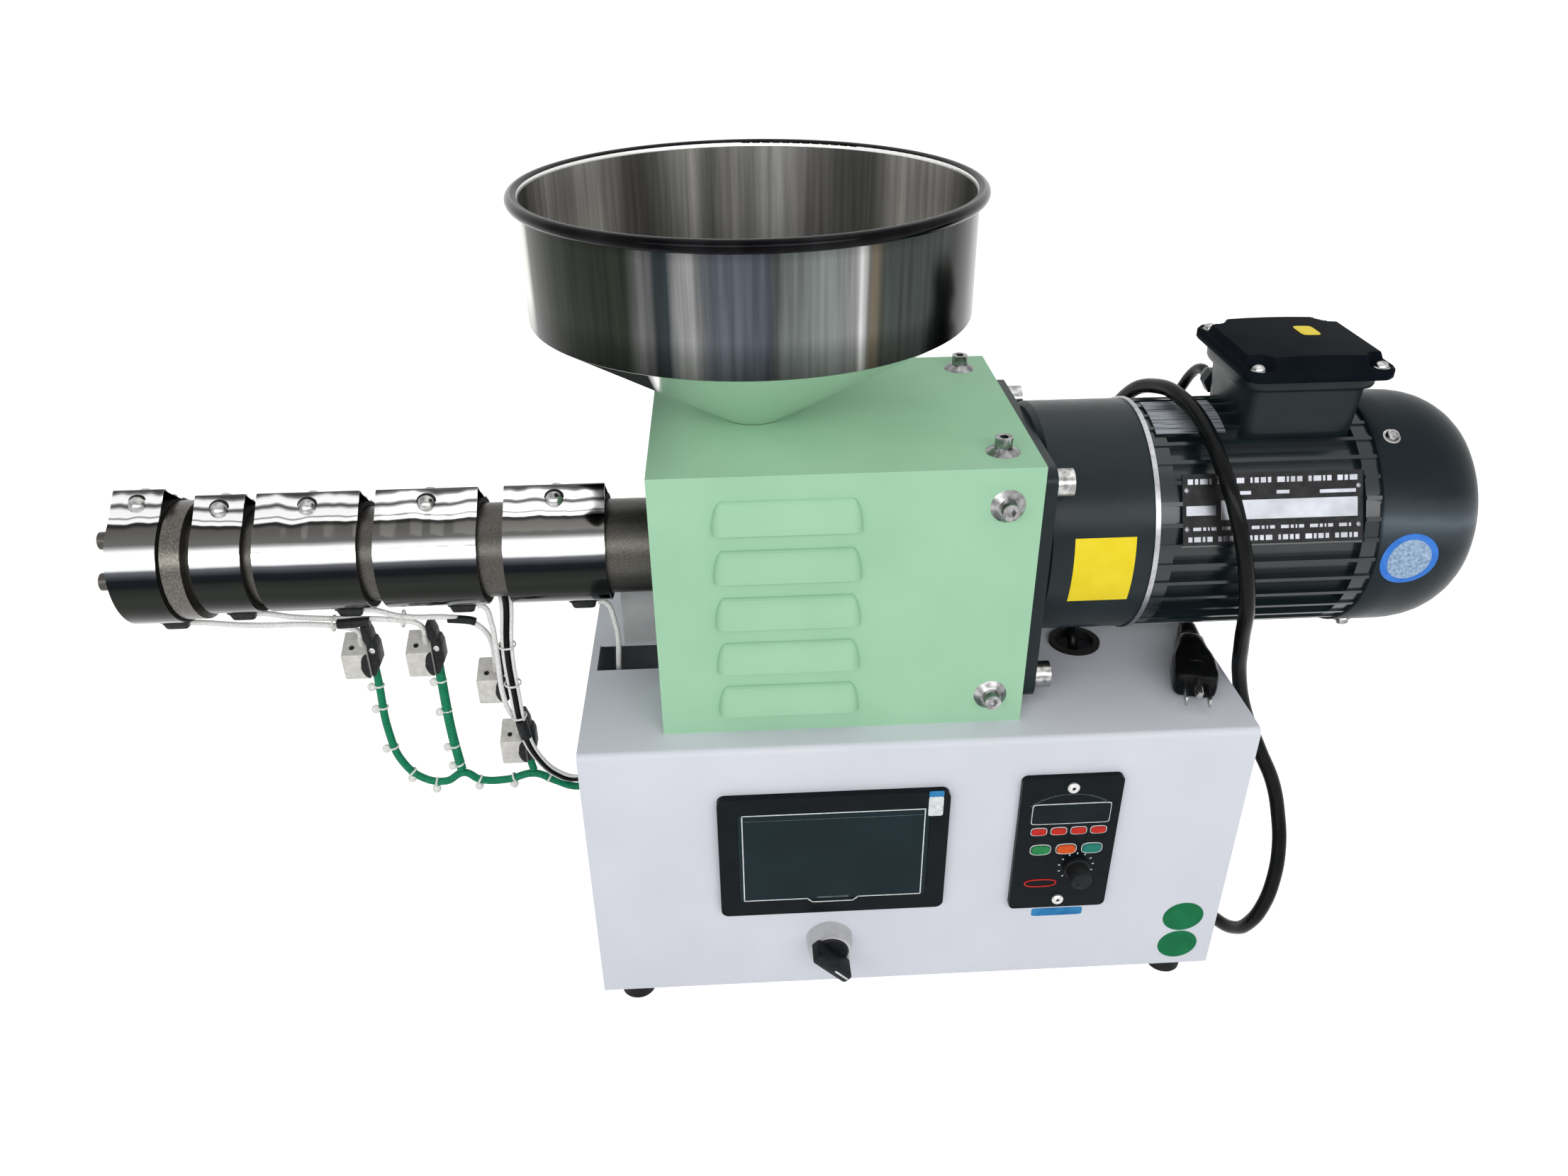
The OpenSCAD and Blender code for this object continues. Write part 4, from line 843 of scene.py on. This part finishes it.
# These lie in metres: levels of the hopper's wall, reaches of its rim from the axis, and the places along the
# cone's left side between which the painted reflection of the cover fades in.
wall_foot = 0.4575
wall_top = 0.5225
rim_reach = 0.1263
rim_highlight_reach = 0.12505
cover_from = -0.149
cover_whole = -0.145
# Painted shade over the wall's height: darker towards its foot and a little darker at its top. It is
# multiplied with the brush lines.
shade = tones(
    tree, spread(tree, spot.outputs["Z"], 0.0, 1.0, wall_foot, wall_top),
    (0.0, (0.35, 0.36, 0.34)), (0.16, (0.6, 0.62, 0.6)), (0.3, (1, 1, 1)), (0.86, (1, 1, 1)),
    (1.0, (0.5, 0.5, 0.5)),
)
brushed = tones(
    tree, mottle(tree, 3.5, 3, (1, 1, 0.03)), (0.32, (0.6, 0.6, 0.6)), (0.68, (1.0, 1.0, 1.0)),
)
brushed_and_painted_shade = blend(tree, 1.0, shade, brushed, "MULTIPLY")
seen_outside = blend(tree, 1.0, all_round, brushed_and_painted_shade, "MULTIPLY")
seen_inside = blend(tree, 1.0, inside_painted_reflection, brushed, "MULTIPLY")
wall_tone = blend(tree, is_out, seen_inside, seen_outside)
# Under the wall the cone is painted as a reflection: light where it mirrors the green cover, and a painted
# dark reflection left of the cover.
beside_cover = spread(tree, spot.outputs["X"], 0.0, 1.0, cover_from, cover_whole)
cone_painted_reflection = tones(tree, beside_cover, (0.0, (0.035, 0.04, 0.037)), (1.0, (0.90, 0.90, 0.89)))
low_down = work_out(tree, "LESS_THAN", spot.outputs["Z"], wall_foot - 0.0005)
under_cone = work_out(tree, "MULTIPLY", low_down, is_out)
down_to_neck = blend(tree, under_cone, wall_tone, cone_painted_reflection)
rim_tone = tones(
    tree, mottle(tree, 26, 2, (1, 1, 0.2)),
    (0.35, (0.0025, 0.0025, 0.003)), (0.7, (0.012, 0.012, 0.013)),
)
out_by = work_out(tree, "LENGTH", from_axis, kind="VectorMath")
# A thin painted highlight line runs round the rim's inner top edge.
past_wall = work_out(tree, "GREATER_THAN", out_by, rim_reach)
innermost = work_out(tree, "LESS_THAN", out_by, rim_highlight_reach)
at_top = work_out(tree, "GREATER_THAN", spot.outputs["Z"], wall_top - 0.0003)
painted_rim_highlight = work_out(tree, "MULTIPLY", innermost, at_top)
whole_rim = work_out(tree, "MAXIMUM", past_wall, at_top)
rim_with_painted_highlight = blend(tree, painted_rim_highlight, rim_tone, (0.9, 0.9, 0.88, 1))
tree.links.new(blend(tree, whole_rim, down_to_neck, rim_with_painted_highlight), shader.inputs["Base Color"])
tree.links.new(spread(tree, is_out, 0.36, 0.18), shader.inputs["Roughness"])
# Left of the cover the cone is made non-metal, so that its painted dark reflection shows dark.
left_of_cover = work_out(tree, "MULTIPLY", under_cone, spread(tree, beside_cover, 1.0, 0.0))
tree.links.new(spread(tree, left_of_cover, 1.0, 0.0), shader.inputs["Metallic"])
relief(tree, shader, mottle(tree, 4, 1, (1, 1, 0.05)), 0.01, 0.1)
dress("hopper", hopper_steel)

# ---- Cover ----
# A folded steel cover in pale green powder coat over the feed block. Rows of pressed
# louvres let the heat out, and small zinc-plated screws hold its skirt.
green_coat = plain_finish(
    "green_coat", (0.335, 0.58, 0.39), (0.365, 0.615, 0.42), 50, rough=0.36, shine=0.006,
    skin=(1.4, 0.06),
)
dress("cover", green_coat, edge_mm=1.3)
socket_steel = plain_finish(
    "socket_steel", (0.12, 0.12, 0.12), (0.42, 0.42, 0.42), 5, metal=1.0, rough=0.24,
    skin=(0.8, 0.02),
)
dress("cover_screws", socket_steel, edge_mm=0.5)

# ---- Gearbox and motor ----
# A cast gear motor under nearly black enamel: a smooth gearbox behind a square flange, a
# bright joint ring, a finned body with its rating plate, and a pressed cowl over the fan.
dark_enamel = plain_finish(
    "dark_enamel", (0.009, 0.0155, 0.018), (0.014, 0.022, 0.025), 30, rough=0.3, shine=0.17,
    skin=(1.8, 0.06),
)
for node in ("gearbox_flange", "gearbox"):
    dress(node, dark_enamel, edge_mm=0.8)
fin_enamel = plain_finish(
    "fin_enamel", (0.007, 0.012, 0.014), (0.011, 0.018, 0.021), 30, rough=0.2, shine=0.5,
    skin=(1.8, 0.03),
)
dress("motor_body", fin_enamel, edge_mm=0.6)
bright_alloy = plain_finish(
    "bright_alloy", (0.34, 0.34, 0.36), (0.46, 0.47, 0.49), 3, metal=1.0, rough=0.3,
)
dress("flange_screws", bright_zinc, edge_mm=0.6)
dress("motor_ring", bright_alloy)
dress("motor_fan", nylon)
plate_print = plain_finish(
    "plate_print", (0.010, 0.010, 0.011), (0.022, 0.022, 0.023), 6, metal=0.3, rough=0.35, shine=0.105,
)
dress("motor_nameplate", plate_print)
motor_axis_z = 315
cowl_sides = 80
cowl_shape = bmesh.new()
cowl_rows = []
for reach, x in (
    (66.5, 273), (73.4, 273), (74, 273.6), (74, 290), (74, 302), (73.6, 309), (72.5, 316),
    (70.6, 322.5), (67.8, 328.5), (64.2, 334), (60.2, 338.4), (55.8, 341.6), (52, 342.8),
    (48, 343), (34, 343), (20, 343), (3, 343),
):
    row = []
    for i in range(cowl_sides):
        a = math.tau * i / cowl_sides
        row.append(cowl_shape.verts.new((x, reach * math.cos(a), motor_axis_z + reach * math.sin(a))))
    cowl_rows.append(row)
for k, (near, far) in enumerate(zip(cowl_rows, cowl_rows[1:])):
    for i in range(cowl_sides):
        is_air_slot = k in (13, 14) and i % 4 in (1, 2)
        if not is_air_slot:
            j = (i + 1) % cowl_sides
            cowl_shape.faces.new((near[i], near[j], far[j], far[i]))
cowl_shape.faces.new(cowl_rows[-1])
cowl_enamel, tree, shader = start_finish("cowl_enamel", 0.0, 0.32, 0.08)
round_cowl = bearing(tree, (0, 0, motor_axis_z), (0, 0, 1), (0, -1, 0), 0.02, (0.4, 1, 1))
# The cowl's colour carries a painted highlight: a lighter band round it, about 73 degrees from its top
# towards the front.
cowl_painted_highlight = by_degrees(tree, round_cowl, [
    (-178, (0.007, 0.012, 0.014)), (40, (0.009, 0.015, 0.018)), (60, (0.013, 0.020, 0.024)),
    (68, (0.045, 0.058, 0.068)), (73, (0.10, 0.124, 0.145)), (78, (0.05, 0.063, 0.075)),
    (88, (0.016, 0.024, 0.028)), (178, (0.007, 0.012, 0.014)),
])
tree.links.new(cowl_painted_highlight, shader.inputs["Base Color"])
relief(tree, shader, mottle(tree, 1.8), 0.06, 0.5)
cowl = place_piece("pressed_cowl", cowl_shape, cowl_enamel, sharp=50)
sheet = cowl.modifiers.new("sheet", "SOLIDIFY")
sheet.thickness = 0.0015
sheet.offset = -1
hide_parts("fan_cowl")
fields = bmesh.new()
plate_degrees = 63
plate_reach = 68
on_plate = Matrix.Translation((208.5, 0, motor_axis_z))
on_plate = on_plate @ Matrix.Rotation(math.radians(plate_degrees), 4, "X")
on_plate = on_plate @ Matrix.Translation((0, 0, plate_reach))
for left, right, low, high in (
    (-52, -34, -3.5, 2.5), (-31, 51, -6.5, 5.2), (28, 50, 7.6, 10), (-20, -13, 8, 10.4),
    (2, 10, 8, 10.4),
):
    add_block(fields, (left, low, 1.2), (right, high, 1.72), 0.2, 1, on_plate)
for start, stop, low, high, dashes in (
    (-51, 51, 14.8, 18.2, (3.4, 2.2, 4.8, 1.6, 2.8)), (-48, 47, -12.4, -10.2, (5.0, 2.0, 1.2, 3.2)),
    (-51, 51, -19, -15.8, (2.6, 4.2, 1.8, 3.4, 2.4)),
):
    left = start
    done = 0
    while left < stop:
        right = min(left + dashes[done % len(dashes)], stop)
        add_block(fields, (left, low, 1.2), (right, high, 1.66), 0.15, 1, on_plate)
        left = right + (3.4 if done % 4 == 3 else 0.9)
        done += 1
for x in (-51.5, 51.5):
    for up in (-11.2, 11.6):
        rivet = on_plate @ Matrix.Translation((x, up, 1.4))
        add_turned(fields, [(0, 0), (1.5, 0), (1.5, 0.3), (1, 0.7), (0, 0.8)], rivet, 20)
brushed_field = plain_finish(
    "brushed_field", (0.20, 0.205, 0.22), (0.30, 0.31, 0.34), 26, metal=1.0, rough=0.32,
)
place_piece("rating_plate_fields", fields, brushed_field)


def out_of_motor(a):
    """The direction square to the motor's axis, at an angle from its top towards the front."""
    return Vector((0, -math.sin(a), math.cos(a)))


def add_wrapped_block(shape, x, degrees, reach, half_l, half_w, mark, rise):
    """A thin rectangular patch that lies round the motor, some degrees from its top."""
    patch = bmesh.new()
    rows = []
    for k in range(17):
        out = out_of_motor(math.radians(degrees) + (k / 8 - 1) * half_w / reach)
        rows.append([
            Vector((x + side * half_l, 0, motor_axis_z)) + out * (reach + up)
            for side, up in ((-1, -0.6), (-1, rise), (1, rise), (1, -0.6))
        ])
    add_rings(patch, rows)
    add_shape(shape, patch, None, mark)


def add_wrapped_oval(shape, x, degrees, reach, half_l, half_w, mark, rise):
    """A thin oval patch that lies round the motor, some degrees from its top."""
    patch = bmesh.new()
    rings = []
    for share, height in ((1, -0.6), (1, rise), (0.7, rise), (0.4, rise), (0.1, rise)):
        ring = []
        for p in boxy_ring(0, half_l * share, half_w * share, 2, 44):
            out = out_of_motor(math.radians(degrees) - p.z / reach)
            ring.append(Vector((x + p.y, 0, motor_axis_z)) + out * (reach + height))
        rings.append(ring)
    add_rings(patch, rings)
    add_shape(shape, patch, None, mark)


yellow_paper = plain_finish(
    "yellow_paper", (0.80, 0.62, 0.02), (0.86, 0.68, 0.035), 12, rough=0.4, shine=0.105,
)
pale_paper = plain_finish(
    "pale_paper", (0.16, 0.27, 0.44), (0.42, 0.53, 0.68), 1.8, rough=0.4, shine=0.105,
)
sky_paper = plain_finish(
    "sky_paper", (0.035, 0.17, 0.60), (0.06, 0.22, 0.68), 9, rough=0.4, shine=0.105,
)
foil, tree, shader = start_finish("foil", 0.35, 0.4)
foil_grain = mottle(tree, 1.3, 2, (0.04, 1, 1))
foil_tone = tones(tree, foil_grain, (0.38, (0.05, 0.055, 0.065)), (0.5, (0.26, 0.28, 0.31)))
tree.links.new(foil_tone, shader.inputs["Base Color"])
patches = bmesh.new()
add_wrapped_block(patches, 108.2, 91.5, 73, 18.2, 21.8, 0, 0.25)
add_wrapped_oval(patches, 292.6, 90.2, 74, 17.4, 16.8, 1, 0.22)
add_wrapped_oval(patches, 292.6, 90.2, 74, 13.2, 13.2, 2, 0.4)
add_wrapped_block(patches, 165, 10, 73.1, 21, 18, 3, 0.2)
place_piece(
    "motor_stickers", patches, [yellow_paper, sky_paper, pale_paper, foil],
    sharp=60,
)
cowl_screws = bmesh.new()
for degrees in (30.5, 150, 270):
    out = out_of_motor(math.radians(degrees))
    add_turned(
        cowl_screws,
        [(0, 0), (5.2, 0), (5.2, 0.8), (3.9, 1.0), (3.8, 2.2), (3.3, 3.4), (1.9, 4.0), (1.6, 3.4),
         (0, 3.4)],
        facing(Vector((284, 0, motor_axis_z)) + out * 73.6, out), 28,
    )
place_piece("cowl_screws", cowl_screws, bright_zinc)
entry_route = [
    (201.5, 47, 390), (201.5, 55, 390), (201, 67, 384), (198, 81, 364), (187, 97, 332),
    (170, 101, 297), (152, 93, 262), (137, 69, 238), (127, 38, 231), (121, 13, 229.5),
    (119.7, 1, 223.5), (119.5, -5, 213), (119.5, -6, 200),
]
motor_lead = lay_line("motor_lead", entry_route, 7, cord_pvc)
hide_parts("motor_cable")

# ---- Terminal box ----
# A cast box on the motor with rounded corners and a collar, and a pressed lid whose raised
# middle is cut back at the corners for four dome-headed screws. The entry at its back is a
# hexagon gland for the motor's cable.
box_x = 230.5
box_shape = bmesh.new()
rings = []
for z, half_x, half_y in (
    (350, 33, 30), (372, 34.4, 31), (390, 35.6, 32.1), (406, 36.7, 33), (407.4, 37.4, 33.6),
    (408.4, 39.8, 35.8), (410, 40.6, 36.6), (415.5, 41, 37), (417, 40.8, 36.8),
):
    rings.append([Vector((box_x + p.y, p.z, z)) for p in boxy_ring(0, half_x, half_y, 7, 56)])
add_rings(box_shape, rings)
back = facing((201.5, 31, 390), (0, 1, 0))
add_turned(box_shape, [(0, 0), (8, 0), (8, 7), (7, 7.6), (7, 9), (5.6, 12), (4.6, 16), (0, 16)], back, 6)
lid_enamel = plain_finish(
    "lid_enamel", (0.004, 0.006, 0.009), (0.007, 0.0095, 0.013), 30, rough=0.24, shine=0.003,
    skin=(1.8, 0.04),
)
cast_box = place_piece("cast_terminal_box", box_shape, dark_enamel, sharp=40)
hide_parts("terminal_box")


def ease(value):
    """A smooth step from 0 to 1."""
    value = min(max(value, 0), 1)
    return value * value * (3 - 2 * value)


lid_shape = bmesh.new()
half_x = 44
half_y = 46
corner = 9
across = 74
deep = 78
lid_level = 423.8
raised_h = 6.1
corner_cut = 17
pocket_deep = 1.4
edge_drop = 1.6
grid = []
for j in range(deep + 1):
    row = []
    for i in range(across + 1):
        x = half_x * (2 * i / across - 1)
        y = half_y * (2 * j / deep - 1)
        over_x = max(abs(x) - (half_x - corner), 0)
        over_y = max(abs(y) - (half_y - corner), 0)
        over = math.hypot(over_x, over_y)
        if over_x and over_y and over:
            square = max(over_x, over_y) / over
            x = math.copysign(half_x - corner + over_x * square, x)
            y = math.copysign(half_y - corner + over_y * square, y)
            over *= square
        else:
            over = max(over_x, over_y)
        edge = corner - over if over else corner
        raised = ease((half_x - abs(x) - 2.6) / 1.8) * ease((half_y - abs(y) - 3) / 7)
        cut = ((half_x - abs(x)) / corner_cut) ** 3 + ((half_y - abs(y)) / corner_cut) ** 3
        kept = ease((cut - 0.86) / 0.3)
        crown = 1 - 0.28 * (x / half_x) ** 2
        in_pocket = ease((7.5 - math.hypot(abs(x) - 35, abs(y) - 37)) / 2.5)
        z = lid_level + raised_h * raised * kept * crown - pocket_deep * (1 - kept) * in_pocket
        z -= edge_drop * (1 - ease(edge / 1.8)) ** 1.5
        row.append(lid_shape.verts.new((box_x + x, y, z)))
    grid.append(row)
for j in range(deep):
    for i in range(across):
        lid_shape.faces.new((grid[j][i], grid[j][i + 1], grid[j + 1][i + 1], grid[j + 1][i]))
border = [edge for edge in lid_shape.edges if edge.is_boundary]
for level, share in ((418.2, 1), (417.2, 0.985)):
    grown = bmesh.ops.extrude_edge_only(lid_shape, edges=border)["geom"]
    for vert in (each for each in grown if isinstance(each, bmesh.types.BMVert)):
        vert.co.z = level
        vert.co.x = box_x + (vert.co.x - box_x) * share
        vert.co.y *= share
    border = [each for each in grown if isinstance(each, bmesh.types.BMEdge)]
bmesh.ops.contextual_create(lid_shape, geom=border)
for side_x in (-1, 1):
    for side_y in (-1, 1):
        add_turned(
            lid_shape,
            [(0, 0), (4.6, 0), (4.6, 0.7), (3.9, 1.0), (3.7, 2.1), (2.8, 3.2), (1.3, 3.7), (0, 3.8)],
            Matrix.Translation((box_x + side_x * 36, side_y * 38, 422.3)), 28, 1,
        )
add_oval(lid_shape, (242, 9, 429.4), 6, 8.5, 2, 5, thick=0.5, turn=Matrix.Rotation(0.02, 4, "Y"))
lid = place_piece(
    "pressed_lid", lid_shape, [lid_enamel, bright_zinc, yellow_paper], sharp=45,
)
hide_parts("terminal_lid")

# ---- Instruments ----
# A touch screen in a moulded bezel, a speed panel with printed keys and a knob, and a
# lever selector in a brushed rim, each clipped into a cut-out in the cabinet's front.
bezel_plastic = plain_finish(
    "bezel_plastic", (0.003, 0.005, 0.007), (0.005, 0.008, 0.0105), 12, rough=0.3, shine=0.07,
    skin=(0.7, 0.04),
)
for node in ("touch_screen", "speed_panel"):
    dress(node, bezel_plastic, edge_mm=0.8)
dark_glass = plain_finish(
    "dark_glass", (0.007, 0.0165, 0.021), (0.010, 0.022, 0.028), 40, rough=0.12, shine=0.07,
    skin=(30, 0.01),
)
dress("screen_glass", dark_glass)
white_print = plain_finish(
    "white_print", (0.55, 0.60, 0.60), (0.78, 0.82, 0.82), 2, rough=0.4, shine=0.105, skin=(1, 0.01),
)
dim_print = plain_finish(
    "dim_print", (0.05, 0.07, 0.08), (0.10, 0.13, 0.14), 3, rough=0.4, shine=0.105, skin=(1, 0.01),
)
glass_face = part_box("screen_glass")[0][1] * 1000
marks = bmesh.new()
for (x1, z1), (x2, z2), wide, mark in (
    ((-110.4, 173), (3.2, 173), 0.7, 0), ((-110.4, 101.8), (-110.4, 173), 0.7, 0),
    ((3.2, 101.8), (3.2, 173), 0.7, 0), ((-110.4, 101.8), (-70, 101.8), 0.7, 0),
    ((-37, 101.8), (3.2, 101.8), 0.7, 0), ((-70, 101.8), (-66.5, 98.6), 0.7, 0),
    ((-66.5, 98.6), (-40.5, 98.6), 0.7, 0), ((-40.5, 98.6), (-37, 101.8), 0.7, 0),
    ((-109, 168.5), (2, 168.5), 0.4, 1), ((-63, 102.5), (-44, 102.5), 1.3, 1),
):
    span = Vector((x2 - x1, z2 - z1))
    lay = Matrix.Translation((x1, glass_face, z1)) @ on_front
    lay = lay @ Matrix.Rotation(math.atan2(span.y, span.x), 4, "Z")
    half = wide / 2
    add_block(marks, (-half, -half, -0.2), (span.length + half, half, 0.12), 0.05, 1, lay, mark)
place_piece("screen_marks", marks, [white_print, dim_print])
bezel_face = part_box("touch_screen")[0][1] * 1000
tab = bmesh.new()
add_oval(tab, (9.6, bezel_face, 184.6), 4.6, 2.2, 0, 12, 0, 0.2)
add_oval(tab, (9.6, bezel_face, 174.8), 4.6, 7.6, 1, 12, 0, 0.2)
place_piece("film_tab", tab, [blue_paper, white_print])

red_print = plain_finish("red_print", (0.42, 0.012, 0.006), (0.55, 0.02, 0.01), 5, rough=0.35)
orange_print = plain_finish("orange_print", (0.60, 0.075, 0.015), (0.72, 0.11, 0.02), 5, rough=0.35)
leaf_print = plain_finish("leaf_print", (0.01, 0.17, 0.045), (0.015, 0.24, 0.07), 5, rough=0.35)
teal_print = plain_finish("teal_print", (0.005, 0.16, 0.12), (0.01, 0.21, 0.16), 5, rough=0.35)
unlit = plain_finish("unlit_window", (0.004, 0.009, 0.012), (0.007, 0.014, 0.018), 20, rough=0.15, shine=0.07)
pale_zinc = plain_finish(
    "pale_zinc", (0.55, 0.55, 0.54), (0.80, 0.80, 0.79), 2, metal=0.5, rough=0.25,
)
keys = bmesh.new()
panel_x = 94.5
middle = 95.5
knob_x = 103.5
knob_z = 118.5
face = -114
add_oval(keys, (middle, face, 163.5), 24.5, 7.6, 4, 16, 0, 0.6)
add_oval(keys, (middle, face, 163.5), 25, 8.2, 5, 16, 0.45, 0.5)
for i in range(4):
    x = middle + (i - 1.5) * 12.7
    add_oval(keys, (x, face, 149.3), 4.6, 2.5, 0, 3.5, 0, 0.9)
    add_oval(keys, (x, face, 149.3), 5.3, 3.2, 5, 3.5, 0.4, 0.4)
for i, mark in ((-1, 1), (0, 2), (1, 3)):
    x = middle + i * 16.6
    add_oval(keys, (x, face, 134), 5.8, 3.4, mark, 3, 0, 1)
    add_oval(keys, (x, face, 134), 6.8, 4.4, 5, 3, 0.45, 0.4)
for i in range(11):
    a = math.radians(225 - i * 27)
    tick = Matrix.Translation((knob_x, face, knob_z)) @ on_front @ Matrix.Rotation(a, 4, "Z")
    add_block(keys, (10.4, -0.35, -0.1), (11.8, 0.35, 0.3), 0.1, 1, tick, 5)
add_oval(keys, (81.7, face, 105.1), 10.6, 3.4, 0, 2.6, 0.9, 0.35)
for i in range(25):
    a = math.radians(150 - i * 5)
    groove = Matrix.Translation((panel_x + 28 * math.cos(a), face, 162 + 17 * math.sin(a)))
    add_block(keys, (-1.4, -0.2, -0.1), (1.4, 0.2, 0.25), 0.05, 1, groove @ on_front, 6)
for up in (-47, 47):
    add_turned(
        keys, [(0, 0), (3.8, 0), (3.8, 1.2), (3.2, 1.8), (1.2, 1.8), (1.0, 1.3), (0, 1.3)],
        facing((panel_x, face - 0.2, 137.5 + up), (0, -1, 0)), 24, 7,
    )
panel_print = place_piece(
    "panel_print", keys,
    [red_print, leaf_print, orange_print, teal_print, unlit, white_print, dim_print, pale_zinc],
)
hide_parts("panel_keys")
knob_shape = bmesh.new()
knob_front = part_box("speed_knob")[0][1] * 1000
knob_back = face - 0.8
seat = facing((knob_x, knob_back, knob_z), (0, -1, 0))
deep = knob_back - knob_front
rings = []
for reach, height, flute in (
    (0.5, 0, 0), (8.2, 0, 0), (8.2, 2.6, 0), (7.3, 3.2, 0.35), (6.7, deep - 1, 0.35),
    (6.1, deep - 0.2, 0.1), (5, deep, 0), (0.5, deep, 0),
):
    ring = []
    for i in range(72):
        a = math.radians(i * 5)
        r = reach - flute * (i % 3 == 0)
        ring.append((r * math.cos(a), r * math.sin(a), height))
    rings.append(ring)
turned_knob = bmesh.new()
add_rings(turned_knob, rings)
add_shape(knob_shape, turned_knob, seat)
add_turned(knob_shape, [(0, -3.8), (3, -3.8), (3, 0.2), (0, 0.2)], seat, 24)
pointer = Matrix.Translation((knob_x, knob_front, knob_z)) @ on_front
pointer = pointer @ Matrix.Rotation(math.radians(225), 4, "Z")
add_block(knob_shape, (1.5, -0.4, -0.6), (5, 0.4, 0), 0.1, 1, pointer, 1)
knob = place_piece(
    "fluted_knob", knob_shape, [nylon, white_print], body="speed_knob_body", sharp=40,
)
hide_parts("speed_knob")

brushed_rim = plain_finish(
    "brushed_rim", (0.50, 0.50, 0.51), (0.60, 0.60, 0.61), 9, metal=0.25, rough=0.35,
    skin=(0.5, 0.01),
)
dress("selector_rim", brushed_rim, edge_mm=0.6)
selector_spot = (-55, cabinet_front, 59.5)
handle_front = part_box("selector_handle")[0][1] * 1000
handle_shape = bmesh.new()
tall = cabinet_front - handle_front
add_turned(
    handle_shape, [(0, -8), (3, -8), (3, 8), (11.5, 8), (11.5, 12.4), (10.8, 13), (0, 13)],
    facing(selector_spot, (0, -1, 0)), 48,
)
lever = Matrix.Translation(selector_spot) @ on_front @ Matrix.Rotation(math.radians(-45), 4, "Z")
add_prism(
    handle_shape,
    [(-15, -2.6), (-13.6, -4), (13.6, -4), (15, -2.6), (15, 2.6), (13.6, 4), (-13.6, 4), (-15, 2.6)],
    lever @ Matrix.Translation((0, 0, 12.5)), tall - 12.6, 0.8,
)
add_block(handle_shape, (2.5, -0.7, tall - 0.5), (14, 0.7, tall), 0.1, 1, lever, 1)
handle = place_piece(
    "selector_lever", handle_shape, [nylon, white_print], body="selector_handle_body",
)
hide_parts("selector_handle")

# ---- Floor and light ----
# A plain white floor that keeps the machine's shadow, under soft white lamps in front
# and a pale surround.
floor_shape = bmesh.new()
bmesh.ops.create_grid(floor_shape, x_segments=1, y_segments=1, size=12)
floor_mesh = bpy.data.meshes.new("floor")
floor_shape.to_mesh(floor_mesh)
floor_shape.free()
floor = put_in("floor", floor_mesh)
floor_paint, tree, shader = start_finish("floor_paint", 0.0, 0.9, 0.0)
shader.inputs["Base Color"].default_value = (0.8, 0.8, 0.8, 1)
shader.inputs["Emission Color"].default_value = (1, 1, 1, 1)


def seen_ray(tree):
    """1 where the eye, a gloss or a clear part looks at this surface, and 0 where light falls."""
    rays = tree.nodes.new("ShaderNodeLightPath").outputs
    seen = work_out(tree, "MAXIMUM", rays["Is Camera Ray"], rays["Is Glossy Ray"])
    return work_out(tree, "MAXIMUM", seen, rays["Is Transmission Ray"])


glow = spread(tree, seen_ray(tree), 0.0, 0.74)
tree.links.new(glow, shader.inputs["Emission Strength"])
floor_mesh.materials.append(floor_paint)

for name, spot, aim, wide, high, power in (
    ("front_lamp", (-0.1, -1.7, 1.15), (0, 0, 0.25), 3.6, 0.7, 29),
    ("top_lamp", (0.1, 0.4, 2.0), (0.1, 0.38, 0), 1.8, 2.4, 9),
):
    lamp_data = bpy.data.lights.new(name, "AREA")
    lamp_data.shape = "RECTANGLE"
    lamp_data.size = wide
    lamp_data.size_y = high
    lamp_data.energy = power
    lamp = put_in(name, lamp_data)
    lamp.location = spot
    lamp.rotation_euler = (Vector(aim) - Vector(spot)).to_track_quat("-Z", "Y").to_euler()

world = bpy.data.worlds.new("surround")
bpy.context.scene.world = world
world.use_nodes = True
tree = world.node_tree
backdrop = tree.nodes["Background"]
backdrop.inputs["Color"].default_value = (1, 1, 1, 1)
level = spread(tree, seen_ray(tree), 0.43, 1.0)
tree.links.new(level, backdrop.inputs["Strength"])
bpy.context.scene.view_settings.view_transform = "Standard"
